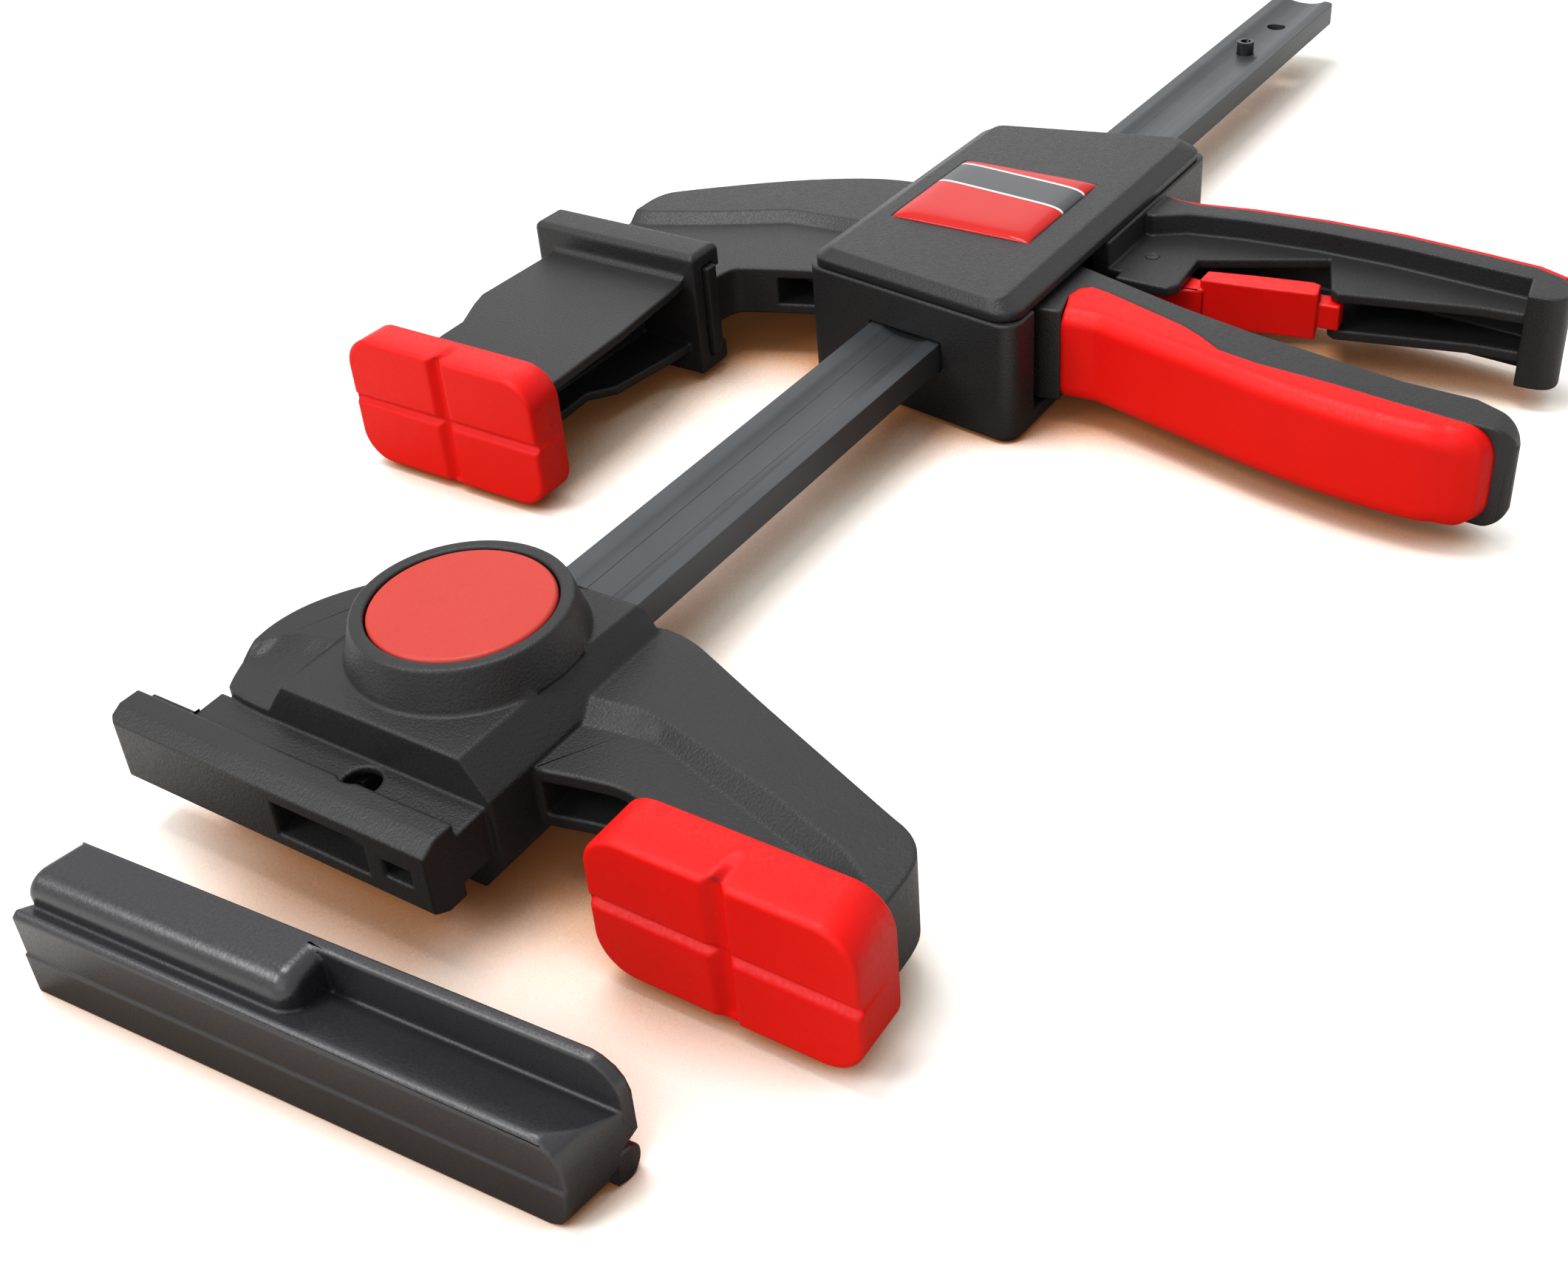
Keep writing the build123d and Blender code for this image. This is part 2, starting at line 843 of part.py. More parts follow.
# --------------------------------------------------------------- release lever
trigger = [
    (188.3, -49.6),
    (190.0, -62.0),
    (192.4, -75.8),
    (197.4, -74.8),
    (198.0, -73.0),
    (195.6, -60.0),
    (193.2, -49.6),
]
trigger_tab = [(193.0, -74.0), (193.6, -80.6), (198.6, -80.0), (198.2, -73.6)]
release_arm = [
    (188.3, -50.4),
    (184.0, -39.5),
    (184.4, -34.8),
    (187.0, -32.6),
    (198.6, -31.6),
    (200.6, -29.0),
    (200.6, -25.6),
    (202.0, -23.9),
    (209.9, -23.9),
    (209.9, -18.8),
    (212.4, -18.8),
    (212.6, -26.4),
    (206.0, -27.8),
    (204.2, -29.2),
    (204.0, -32.0),
    (200.6, -38.8),
    (194.4, -40.6),
    (193.0, -50.4),
]
with BuildPart() as release_lever:
    plate(release_arm, mid - 3.1, mid + 3.1)
    plate(trigger, mid - 5.7, mid + 5.7)
    plate(trigger_tab, mid - 3.0, mid + 3.0)
    post(release_x, release_y, 0, 30, release_radius + seat_gap, Mode.SUBTRACT)

with BuildPart() as release_pin:
    post(
        release_x,
        release_y,
        mid - handle_tray_half_z,
        mid + handle_tray_half_z,
        release_radius,
    )

# -------------------------------------------------------------- extension jaw
clip_half_z = 15.2
clip_inner = 11.3  # half height of the room for the T flange
clip_lip = 9.6  # half height of the gap between the lips
clip = [
    (130.8, mid - clip_half_z),
    (140.8, mid - clip_half_z),
    (140.8, mid - clip_lip),
    (138.4, mid - clip_lip),
    (138.4, mid - clip_inner),
    (134.3, mid - clip_inner),
    (134.3, mid + clip_inner),
    (138.4, mid + clip_inner),
    (138.4, mid + clip_lip),
    (140.8, mid + clip_lip),
    (140.8, mid + clip_half_z),
    (130.8, mid + clip_half_z),
]
clip_y = (49.4, 95.5)
neck_left = [
    (132.0, 89.5),
    (104.6, 89.7),
    (100.0, 88.1),
    (92.2, 84.5),
    (86.4, 84.3),
    (77.4, 83.8),
]
neck_right_top = [(77.4, 48.0), (81.5, 48.1), (103.5, 49.2), (127.5, 51.7), (132, 52.3)]
neck_right_low = [(77.4, 58.6), (94, 59), (101.4, 59.4), (106.6, 55.3), (122.8, 53.0)]
neck_half_z = 9.3
neck_skin = 2.2
extension_pad_y = 69.9
extension_pad_size = 1.09
extension_pad_face = 67.6

with BuildPart() as extension_jaw:
    along_y(clip, *clip_y)
    box(134.0, 140.8, 92.4, 95.5, mid - clip_half_z, mid + clip_half_z)
    fillet(extension_jaw.edges().filter_by(Axis.Z).group_by(Axis.Y)[-1], 1.5)
    plate(
        neck_left + neck_right_top,
        mid + neck_half_z - neck_skin,
        mid + neck_half_z,
    )
    plate(
        neck_left + neck_right_low + [(132.0, 52.3)],
        mid - neck_half_z,
        mid - neck_half_z + neck_skin,
    )
    box(78.0, 132.0, 65.6, 68.6, mid - neck_half_z, mid + neck_half_z)
    # the end plate with the seat that the pad is pushed onto
    box(76.9, 79.4, 49.0, 91.0, mid - 10.6, mid + 10.6)
    along_x(
        mirrored(
            [
                (extension_pad_y - 19.6 * extension_pad_size, 6.0 * extension_pad_size),
                (extension_pad_y - 16.0 * extension_pad_size, 10.0 * extension_pad_size),
                (extension_pad_y + 16.0 * extension_pad_size, 10.0 * extension_pad_size),
                (extension_pad_y + 19.6 * extension_pad_size, 6.0 * extension_pad_size),
            ]
        ),
        extension_pad_face + pad_seat_depth + seat_gap,
        77.5,
    )

with BuildPart() as extension_pad:
    jaw_pad(extension_pad_face, 76.8, extension_pad_y, extension_pad_size)

# -------------------------------------------------------- loose pressure bar
press_length = 98.3  # along the front face
press_depth = 13.0
press_seam = 7.8
press_ridge = 16.1
press_floor = 12.6  # at the foot of the back wall
press_top = 20.8
press_wall = 11.0  # where the back wall starts
press_slant = 0.216  # both ends run back at this slope
press_yaw = 3.56  # degrees, how the bar lies
press_place = Plane(
    origin=(-70.7, 29.9, base_bottom),
    x_dir=(sin(radians(press_yaw)), -cos(radians(press_yaw)), 0),
)


def slanted(section, y_low, y_high):
    """Takes away a block whose (x, z) section moves with the slant of the ends."""
    faces = []
    for y in (y_low, y_high):
        with BuildSketch(Plane.XZ.offset(-y)) as plan:
            with BuildLine():
                Polyline(*[(x + press_slant * y, z) for x, z in section], close=True)
            make_face()
        faces.append(plan.sketch.face())
    loft(sections=faces, ruled=True, mode=Mode.SUBTRACT)


# here x runs along the bar to the right, y back towards the head, z from the ground
with BuildPart() as press_shape:
    box(-2.0, 51.5, 3.2, press_depth, 8.0, press_top)
    front_top = press_shape.edges().filter_by(Axis.X).group_by(Axis.Z)[-1]
    fillet(front_top.sort_by(Axis.Y)[0], 3.8)
    right_end = press_shape.faces().sort_by(Axis.X)[-1].edges()
    fillet(right_end.filter_by(Axis.Z), 3.0)
    along_x(
        [
            (0.0, 0.0),
            (0.0, press_seam - 0.2),
            (0.3, press_seam),
            (0.3, press_ridge - 0.9),
            (1.2, press_ridge),
            (press_wall, press_floor),
            (press_wall, press_top - 0.5),
            (press_wall + 0.5, press_top),
            (press_depth, press_top),
            (press_depth, press_seam),
            (9.4, 6.0),
            (8.6, 0.0),
        ],
        -2.0,
        press_length + 4,
    )
    with Locations((press_length / 2 + 0.8, 10.2, 3.0)):
        Cylinder(3.0, press_length + 3.2, rotation=(0, 90, 0))
    box(6.0, 92.0, 3.0, 7.4, -1.0, 6.0, Mode.SUBTRACT)
    slanted([(-6, -1), (0, -1), (0, 25), (-6, 25)], -2, 15)
    end = press_length
    slanted([(end, -1), (end + 9, -1), (end + 9, 25), (end, 25)], -2, 15)
    slanted(
        [
            (end - 5.3, press_ridge + 0.1),
            (end - 2.9, press_ridge - 0.6),
            (end - 1.3, press_ridge - 1.5),
            (end - 0.5, press_ridge - 3.1),
            (end + 0.1, press_ridge - 5.6),
            (end + 2, press_ridge - 5.6),
            (end + 2, 25),
            (end - 5.3, 25),
        ],
        -2,
        press_wall,
    )
    slanted(
        [
            (end - 5.8, press_top + 0.1),
            (end - 3.8, press_top - 0.5),
            (end - 1.9, press_top - 1.7),
            (end - 0.7, press_top - 3.3),
            (end + 0.1, press_top - 5.8),
            (end + 2, press_top - 5.8),
            (end + 2, 25),
            (end - 5.8, 25),
        ],
        press_wall - 0.1,
        15,
    )
    slanted(
        [
            (end - 3.5, -1),
            (end - 3.5, 0),
            (end - 1.7, 0.7),
            (end - 0.6, 2.2),
            (end + 0.1, 4.4),
            (end + 2, 4.4),
            (end + 2, -1),
        ],
        -2,
        8.6,
    )

with BuildPart() as press_bar:
    add(press_shape.part.moved(press_place.location))

assembly = {
    "rail": rail,
    "rail_stop_pin": rail_stop_pin,
    "fixed_head": fixed_head,
    "fixed_jaw_pad": fixed_jaw_pad,
    "release_button": release_button,
    "lock_pin": lock_pin,
    "button_spring": button_spring,
    "slide_body": slide_body,
    "housing_cover": housing_cover,
    "badge_plate": badge_plate,
    "cover_screws": cover_screws,
    "handle_strip": handle_strip,
    "pump_lever": pump_lever,
    "pump_grip": pump_grip,
    "pump_pivot_pin": pump_pivot_pin,
    "pump_return_spring": pump_return_spring,
    "drive_plates": drive_plates,
    "drive_spring": drive_spring,
    "brake_plate": brake_plate,
    "brake_spring": brake_spring,
    "release_lever": release_lever,
    "release_pin": release_pin,
    "extension_jaw": extension_jaw,
    "extension_pad": extension_pad,
    "press_bar": press_bar,
}
for name, piece in assembly.items():
    piece.part.label = name
    export_step(piece.part, f"parts/{name}.step")
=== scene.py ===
# %% [markdown]
# # Quick release bar clamp
# A one-handed clamp is a flat steel bar with a fixed head at one end and a jaw
# that a pump lever drives along it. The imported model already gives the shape,
# size and place of every piece. Modelling them all again could lose the fit of
# their joints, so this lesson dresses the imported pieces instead. It softens the
# moulded edges, forms the soft pieces and the badge, and gives each piece the
# finish of its real material. Lengths are in metres, and MM is a millimetre.

# %% Load the frame
import json
from math import radians

import bmesh
import bpy
import numpy as np
from mathutils import Matrix, Quaternion, Vector


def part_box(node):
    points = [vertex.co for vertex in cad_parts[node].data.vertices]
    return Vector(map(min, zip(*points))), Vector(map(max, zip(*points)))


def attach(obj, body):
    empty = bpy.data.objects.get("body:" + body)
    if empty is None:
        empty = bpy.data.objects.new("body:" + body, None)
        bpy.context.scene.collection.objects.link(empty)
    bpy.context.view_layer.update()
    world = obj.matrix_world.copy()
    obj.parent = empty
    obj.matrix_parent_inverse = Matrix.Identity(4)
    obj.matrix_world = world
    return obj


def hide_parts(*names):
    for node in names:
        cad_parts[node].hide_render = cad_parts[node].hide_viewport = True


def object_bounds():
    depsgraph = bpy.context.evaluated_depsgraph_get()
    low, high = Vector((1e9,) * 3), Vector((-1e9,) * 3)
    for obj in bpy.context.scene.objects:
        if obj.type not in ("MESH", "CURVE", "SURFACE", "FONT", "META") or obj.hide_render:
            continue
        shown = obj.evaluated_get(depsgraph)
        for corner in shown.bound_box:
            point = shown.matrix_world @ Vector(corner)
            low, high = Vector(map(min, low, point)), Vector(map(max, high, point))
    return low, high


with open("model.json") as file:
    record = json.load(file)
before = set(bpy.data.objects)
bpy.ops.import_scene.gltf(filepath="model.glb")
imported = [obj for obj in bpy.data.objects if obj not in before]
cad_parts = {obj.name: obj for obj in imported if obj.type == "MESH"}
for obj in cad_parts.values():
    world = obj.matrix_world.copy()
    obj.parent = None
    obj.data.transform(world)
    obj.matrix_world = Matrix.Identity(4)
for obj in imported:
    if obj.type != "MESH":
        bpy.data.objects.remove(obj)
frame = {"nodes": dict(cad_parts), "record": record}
cad_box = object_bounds()
nodes = frame["nodes"]
bodies = frame["record"]["behaviour"]["bodies"]
body_of_node = {node: body for body, members in bodies.items() for node in members}
slot_of_node = {part["node"]: part["material_slot"] for part in frame["record"]["subparts"]}
MM = 0.001

# %% [markdown]
# ## Camera
# The clamp is seen from above its front corner, so near that the head looks much
# larger than the far end of the bar. A camera can be aimed at a target, but this
# view is known by its place and by one turn about an axis, and those are simply
# set. The lens is given in pixels of the picture, and its shift moves the picture
# sideways and up without tilting the view.

# %% Camera
IMAGE_WIDTH, IMAGE_HEIGHT = 2122, 1710  # pixels
FOCAL_PIXELS = 2469.3
CENTRE_PIXEL = (1200.0, 700.0)  # the point straight ahead of the lens
CAMERA_PLACE = Vector((-166.3, -185.7, 202.6)) * MM
CAMERA_TURN = Vector((1.90103760, -1.11290052, 0.550407589))  # the axis, as long as the angle
SENSOR_WIDTH = 36.0
NEAREST, FARTHEST = 0.01, 20.0

lens = bpy.data.cameras.new("Camera")
lens.sensor_width = SENSOR_WIDTH
lens.lens = SENSOR_WIDTH * FOCAL_PIXELS / IMAGE_WIDTH
lens.shift_x = (IMAGE_WIDTH / 2 - CENTRE_PIXEL[0]) / IMAGE_WIDTH
lens.shift_y = (CENTRE_PIXEL[1] - IMAGE_HEIGHT / 2) / IMAGE_WIDTH
lens.clip_start, lens.clip_end = NEAREST, FARTHEST
camera = bpy.data.objects.new("Camera", lens)
bpy.context.scene.collection.objects.link(camera)
turned = Quaternion(CAMERA_TURN.normalized(), CAMERA_TURN.length).to_matrix().transposed()
# the turn is for a view whose second axis points down and whose third points
# ahead, and a camera's own axes point up and back
facing = turned @ Matrix.Diagonal((1, -1, -1))
camera.matrix_world = Matrix.Translation(CAMERA_PLACE) @ facing.to_4x4()
bpy.context.scene.camera = camera
print("lens", round(lens.lens, 2), "mm")

# %% [markdown]
# ## Nodes and colours
# Every finish below is a small tree of shader nodes. A tree can be drawn by hand
# in the editor, but one that is written down can be read, compared and repeated.
# One helper adds any kind of node, and another turns a screen colour into the
# linear light that shaders work with.


# %% Node and colour helpers
def linear(code):
    """sRGB hex to linear: c / 12.92 near black, else ((c + 0.055) / 1.055) ** 2.4."""
    channels = [int(code[i : i + 2], 16) / 255 for i in (1, 3, 5)]
    bent = [c / 12.92 if c <= 0.04045 else ((c + 0.055) / 1.055) ** 2.4 for c in channels]
    return (*bent, 1.0)


def add(tree, kind, settings=None, **inputs):
    """Adds one node, sets its options and fills or links its inputs.

    An input is called by its name, with _ for a space, or by its number, as i0.
    """
    node = tree.nodes.new(kind)
    for name, value in (settings or {}).items():
        setattr(node, name, value)
    for name, value in inputs.items():
        numbered = name[0] == "i" and name[1:].isdigit()
        socket = node.inputs[int(name[1:]) if numbered else name.replace("_", " ")]
        if isinstance(value, bpy.types.NodeSocket):
            tree.links.new(value, socket)
        else:
            socket.default_value = value
    return node


print("mid grey in linear light", round(linear("#808080")[0], 3))

# %% [markdown]
# ## World
# The clamp lies in a white room. A world bright enough to show white would flood
# the black pieces with light and turn them grey. So it is white only for rays
# from the camera, from mirrors and through glass, and a dimmer fill for the rays
# that light the pieces.


# %% World
def seen_directly(tree):
    """1 for camera, glossy and transmission rays, 0 for the rays that light."""
    path = add(tree, "ShaderNodeLightPath").outputs
    seen = path["Is Camera Ray"]
    for kind in ("Is Glossy Ray", "Is Transmission Ray"):
        larger = add(tree, "ShaderNodeMath", {"operation": "MAXIMUM"}, i0=seen, i1=path[kind])
        seen = larger.outputs[0]
    return seen


FILL_STRENGTH = 0.30


def make_world():
    """White where it is seen or mirrored, a dimmer grey as fill light."""
    world = bpy.data.worlds.new("Studio")
    bpy.context.scene.world = world
    world.use_nodes = True
    tree = world.node_tree
    tree.nodes.clear()
    fill = add(tree, "ShaderNodeBackground", Color=linear("#F3F6FA"), Strength=FILL_STRENGTH)
    white = add(tree, "ShaderNodeBackground", Color=linear("#FFFFFF"), Strength=1.0)
    shown = add(
        tree,
        "ShaderNodeMixShader",
        i0=seen_directly(tree),
        i1=fill.outputs[0],
        i2=white.outputs[0],
    )
    output = add(tree, "ShaderNodeOutputWorld")
    tree.links.new(shown.outputs[0], output.inputs["Surface"])


make_world()
bpy.context.scene.view_settings.view_transform = "Standard"
print("fill light", FILL_STRENGTH)

# %% [markdown]
# ## Lamps
# Broad lamps give moulded plastic its wide soft highlights, where a point lamp
# would give hard sparks and black shadows. The overhead one carries the light,
# the two on the left reach the faces that look forward, and a weak one keeps the
# far side from going black.

# %% Lamps
AIM = Vector((0.13, 0.0, 0.0))  # on the bar, just ahead of the sliding jaw
LAMPS = {  # place, side of the square, watts
    "Overhead": ((0.12, 0.22, 1.2), 0.5, 12.0),
    "Back left": ((-0.72, 0.50, 0.85), 0.5, 8.0),
    "Front left": ((-0.75, -0.25, 0.50), 0.8, 2.5),
    "Far side": ((1.30, 0.75, 0.60), 0.8, 1.5),
}

for name, (place, side, watts) in LAMPS.items():
    lamp = bpy.data.lights.new(name, "AREA")
    lamp.shape, lamp.size, lamp.energy = "SQUARE", side, watts
    lamp_object = bpy.data.objects.new(name, lamp)
    lamp_object.location = place
    lamp_object.rotation_mode = "QUATERNION"
    lamp_object.rotation_quaternion = (AIM - Vector(place)).to_track_quat("-Z", "Y")
    bpy.context.scene.collection.objects.link(lamp_object)
    print(name, watts, "W")

# %% [markdown]
# ## Floor
# The clamp lies on a wooden board that is so brightly lit that it looks white,
# and only in shade would the brown of the wood show. A brown lamp would tint the
# pieces too, so that shade is painted into the board's own material. An
# Ambient Occlusion node tells how much open sky a point has. In the open the
# board is pale paint with a glow that lifts it to white, and close to a piece it
# is painted shade: brown wood, darkest in the corners, with a faint glow. Mirrored
# rays meet that painted shade from farther out, so that upright black faces
# reflect a brown floor. Rays that only carry light meet a plain tan board.

# %% Empty materials
# a Mix node takes colours at inputs 6 and 7 and gives one at output 2
COLOURS = {"data_type": "RGBA"}


def new_material(name):
    """An empty node material with its output and its Object coordinates."""
    material = bpy.data.materials.new(name)
    material.use_nodes = True
    material.node_tree.nodes.clear()
    tree = material.node_tree
    where = add(tree, "ShaderNodeTexCoord").outputs["Object"]
    output = add(tree, "ShaderNodeOutputMaterial")
    print("material", name)
    return material, tree, where, output


# %% Board finish
# painted shade: where ambient occlusion finds little open sky, near and under the pieces, the board
# turns from white paint to brown wood
SHADOW_REACH = 45 * MM
SEEN_SHADE_CHANGE = (0.36, 0.68)  # open sky at which wood starts to turn, and is all paint
MIRRORED_SHADE_CHANGE = (0.80, 1.0)
CORNER_SHADE_CHANGE = (0.15, 0.60)  # open sky at which wood is darkest, and lightest
# a faint glow lifts the painted shade near the pieces
SHADE_GLOW = 0.08


def make_board():
    """Painted shade of brown wood near the pieces and white paint beyond, for the rays that see it.
    """
    material, tree, _, output = new_material("Pale board")
    sky = add(tree, "ShaderNodeAmbientOcclusion", {"samples": 8}, Distance=SHADOW_REACH)
    seen, mirrored, depth = [
        add(tree, "ShaderNodeMapRange", Value=sky.outputs["AO"], From_Min=start, From_Max=end)
        for start, end in (SEEN_SHADE_CHANGE, MIRRORED_SHADE_CHANGE, CORNER_SHADE_CHANGE)
    ]
    by_mirror = add(tree, "ShaderNodeLightPath").outputs["Is Glossy Ray"]
    open_share = add(
        tree, "ShaderNodeMix", i0=by_mirror, i2=seen.outputs[0], i3=mirrored.outputs[0]
    )
    # painted shade: the wood darkens further where the sky is most closed, in the corners
    corner_shaded_wood = add(
        tree,
        "ShaderNodeMix",
        COLOURS,
        i0=depth.outputs[0],
        i6=linear("#A86C40"),
        i7=linear("#E0A06A"),
    )
    # mirrors see a flat grey-brown painted shade near the pieces instead
    wood = add(
        tree, "ShaderNodeMix", COLOURS, i0=by_mirror, i6=corner_shaded_wood.outputs[2], i7=linear("#7A6C60")
    ).outputs[2]
    # the painted shade near the pieces: brown wood lit diffusely, plus a faint glow
    painted_shade = add(
        tree,
        "ShaderNodeAddShader",
        i0=add(tree, "ShaderNodeBsdfDiffuse", Color=wood).outputs[0],
        i1=add(tree, "ShaderNodeEmission", Color=wood, Strength=SHADE_GLOW).outputs[0],
    )
    painted = add(
        tree,
        "ShaderNodeAddShader",
        i0=add(tree, "ShaderNodeBsdfDiffuse", Color=linear("#E7E7E7")).outputs[0],
        i1=add(tree, "ShaderNodeEmission", Color=linear("#B5B1A6"), Strength=1.0).outputs[0],
    )
    shown = add(
        tree,
        "ShaderNodeMixShader",
        i0=open_share.outputs[0],
        i1=painted_shade.outputs[0],
        i2=painted.outputs[0],
    )
    lighting = add(tree, "ShaderNodeBsdfDiffuse", Color=linear("#B08A64"))
    board = add(
        tree,
        "ShaderNodeMixShader",
        i0=seen_directly(tree),
        i1=lighting.outputs[0],
        i2=shown.outputs[0],
    )
    tree.links.new(board.outputs[0], output.inputs["Surface"])
    return material


board_finish = make_board()

# %% Floor
FLOOR_HALF = 6.0
FLOOR_GAP = 0.02 * MM
ground = cad_box[0].z

corners = np.array([(-1, -1, 0), (1, -1, 0), (1, 1, 0), (-1, 1, 0)], float)
floor_mesh = bpy.data.meshes.new("floor")
floor_points = corners * FLOOR_HALF + (0, 0, ground - FLOOR_GAP)
floor_mesh.from_pydata(floor_points.tolist(), [], [(0, 1, 2, 3)])
floor_mesh.materials.append(board_finish)
floor = bpy.data.objects.new("floor", floor_mesh)
bpy.context.scene.collection.objects.link(floor)
print("floor at", round(ground / MM, 2), "mm")

# %% [markdown]
# ## Moulded plastics
# A moulded piece shows the surface of its mould: a fine grain where the mould was
# spark eroded, and a satin sheen where it was blasted or brushed. A picture of
# grain would need unwrapping and would blur close by, so the grain is noise of a
# real size, used as a bump and as a little unevenness in gloss. A Bevel node
# rounds the shading of each edge, which catches a thin light without more faces.

# %% Grain and mould
PATTERN_LOW, PATTERN_HIGH = 0.3, 0.7  # noise seldom leaves this range
CLOUD_MM = 14.0
GRAIN_SMOOTHER, GRAIN_ROUGHER = 0.06, 0.08  # how far the grain changes the roughness


def noise(tree, where, size_mm, detail=2.0, stretch=(1, 1, 1)):
    """Noise whose blobs are size_mm across, divided by the stretch of each axis."""
    scaled = add(tree, "ShaderNodeMapping", Vector=where, Scale=Vector(stretch))
    texture = add(
        tree,
        "ShaderNodeTexNoise",
        Vector=scaled.outputs[0],
        Scale=1 / (size_mm * MM),
        Detail=detail,
        Roughness=0.55,
    )
    return texture.outputs[0]


def moulded(name, colours, rough, grain_mm, depth_mm, edge_mm, ior, specular):
    """A moulded plastic: cloudy colour, uneven gloss, grain and soft edges."""
    material, tree, where, output = new_material(name)
    cloud = noise(tree, where, CLOUD_MM, detail=3.0)
    grain = noise(tree, where, grain_mm)
    dark, light = map(linear, colours)
    soft_edge = add(tree, "ShaderNodeBevel", {"samples": 6}, Radius=edge_mm * MM)
    bump = add(
        tree,
        "ShaderNodeBump",
        Height=grain,
        Strength=1.0,
        Distance=depth_mm * MM,
        Normal=soft_edge.outputs[0],
    )
    gloss = add(
        tree,
        "ShaderNodeMapRange",
        Value=grain,
        From_Min=PATTERN_LOW,
        From_Max=PATTERN_HIGH,
        To_Min=rough - GRAIN_SMOOTHER,
        To_Max=rough + GRAIN_ROUGHER,
    )
    shader = add(
        tree,
        "ShaderNodeBsdfPrincipled",
        Base_Color=add(tree, "ShaderNodeMix", COLOURS, i0=cloud, i6=dark, i7=light).outputs[2],
        Roughness=gloss.outputs[0],
        IOR=ior,
        Specular_IOR_Level=specular,
        Normal=bump.outputs[0],
    )
    tree.links.new(shader.outputs[0], output.inputs["Surface"])
    return material


print("clouds in the plastic", CLOUD_MM, "mm across")

# %% Moulded finishes
# The real grain is a few tenths of a millimetre, too fine to show, so it is drawn
# half a millimetre across or more.
finishes = {
    # nylon with glass fibre from a spark-eroded mould: charcoal, with highlights
    # that the grain breaks into small sparks
    "black_nylon": moulded(
        "Spark-eroded black nylon",
        ("#1B1B1C", "#222223"),
        rough=0.43,
        grain_mm=0.5,
        depth_mm=0.10,
        edge_mm=0.9,
        ior=1.50,
        specular=0.30,
    ),
    # the loose bar's nylon from a smoother mould: brighter and sharper highlights
    "black_smooth": moulded(
        "Satin black nylon",
        ("#222225", "#2A2A2D"),
        rough=0.28,
        grain_mm=0.5,
        depth_mm=0.025,
        edge_mm=0.9,
        ior=1.50,
        specular=0.5,
    ),
    # thermoplastic rubber of pads and grips: a full, dull red with no sharp gleam
    "red_pad": moulded(
        "Soft red TPE",
        ("#E40804", "#EC0C07"),
        rough=0.5,
        grain_mm=0.6,
        depth_mm=0.03,
        edge_mm=1.0,
        ior=1.45,
        specular=0.3,
    ),
    # the button's harder plastic from a blasted mould: a paler, chalky red
    "red_button": moulded(
        "Matt red ABS",
        ("#B83026", "#C03A2E"),
        rough=0.5,
        grain_mm=0.5,
        depth_mm=0.015,
        edge_mm=0.4,
        ior=1.45,
        specular=0.4,
    ),
    # the trigger's nylon, rubbed by the fingertip: a clear red with a soft sheen
    "red_trigger": moulded(
        "Satin red nylon",
        ("#DC0805", "#E60C08"),
        rough=0.38,
        grain_mm=0.8,
        depth_mm=0.012,
        edge_mm=0.9,
        ior=1.50,
        specular=0.3,
    ),
}
print("moulded finishes", *finishes)

# %% [markdown]
# ## Steel
# The bar is drawn through a die and burnished, which leaves a nearly black skin
# with long faint streaks. Scratches could be modelled one by one, but noise that
# is stretched along the bar gives them all at once. Pins and plates are blackened
# against rust, and spring wire stays bright.

# %% Steel finishes
STREAK_MM, STREAK_DEPTH_MM = 0.9, 0.004  # real ones are finer, and would not show
STREAK_SMOOTHER, STREAK_ROUGHER = 0.02, 0.03  # how far a streak changes the roughness
STEEL_CLOUD_MM = 18.0


def drawn_steel(name, colours, rough, metal, stretch):
    """Metal whose colour and gloss run in streaks, long where stretch is small."""
    material, tree, where, output = new_material(name)
    streak = noise(tree, where, STREAK_MM, detail=4.0, stretch=stretch)
    cloud = noise(tree, where, STEEL_CLOUD_MM, detail=3.0)
    dark, light = map(linear, colours)
    bump = add(
        tree, "ShaderNodeBump", Height=streak, Strength=1.0, Distance=STREAK_DEPTH_MM * MM
    )
    gloss = add(
        tree,
        "ShaderNodeMapRange",
        Value=streak,
        From_Min=PATTERN_LOW,
        From_Max=PATTERN_HIGH,
        To_Min=rough - STREAK_SMOOTHER,
        To_Max=rough + STREAK_ROUGHER,
    )
    shader = add(
        tree,
        "ShaderNodeBsdfPrincipled",
        Base_Color=add(tree, "ShaderNodeMix", COLOURS, i0=cloud, i6=dark, i7=light).outputs[2],
        Roughness=gloss.outputs[0],
        Metallic=metal,
        Normal=bump.outputs[0],
    )
    tree.links.new(shader.outputs[0], output.inputs["Surface"])
    return material


# the burnished skin is part oxide, so it mirrors less than bare metal
finishes["bar_steel"] = drawn_steel(
    "Burnished drawn steel", ("#3E4144", "#4C4F52"), rough=0.45, metal=0.7, stretch=(0.04, 1, 1)
)
# dipped black and oiled: dark, with a small clear gleam
finishes["pin_steel"] = drawn_steel(
    "Blackened steel", ("#3C3D3F", "#4A4B4D"), rough=0.34, metal=1.0, stretch=(1, 1, 0.2)
)
# wire as it leaves the coiling machine: light and bright
finishes["spring_steel"] = drawn_steel(
    "Spring wire", ("#8F9193", "#A0A2A4"), rough=0.30, metal=1.0, stretch=(1, 1, 1)
)
print("finishes", len(finishes))

# %% [markdown]
# ## Badge finish
# The badge is a printed film under clear resin, so its print looks wet. A sheet
# of glass over a print would do, but it costs many rays, and a coat on the print's
# own shader gives the same reflection. The print is a red field with one dark band
# and a pale line on each side of it. Both come from one value, a point's distance
# from the band's middle line.

# %% Badge finish
BAND_X = 193.0 * MM  # where the band's middle line would cross the bar's middle
BAND_SLOPE = 0.105
BAND_HALF = 5.3 * MM
LINE_WIDTH = 0.8 * MM
INK_EDGE = 0.05 * MM  # half the width over which one ink gives way to the next
PRINT_CLOUD_MM = 9.0


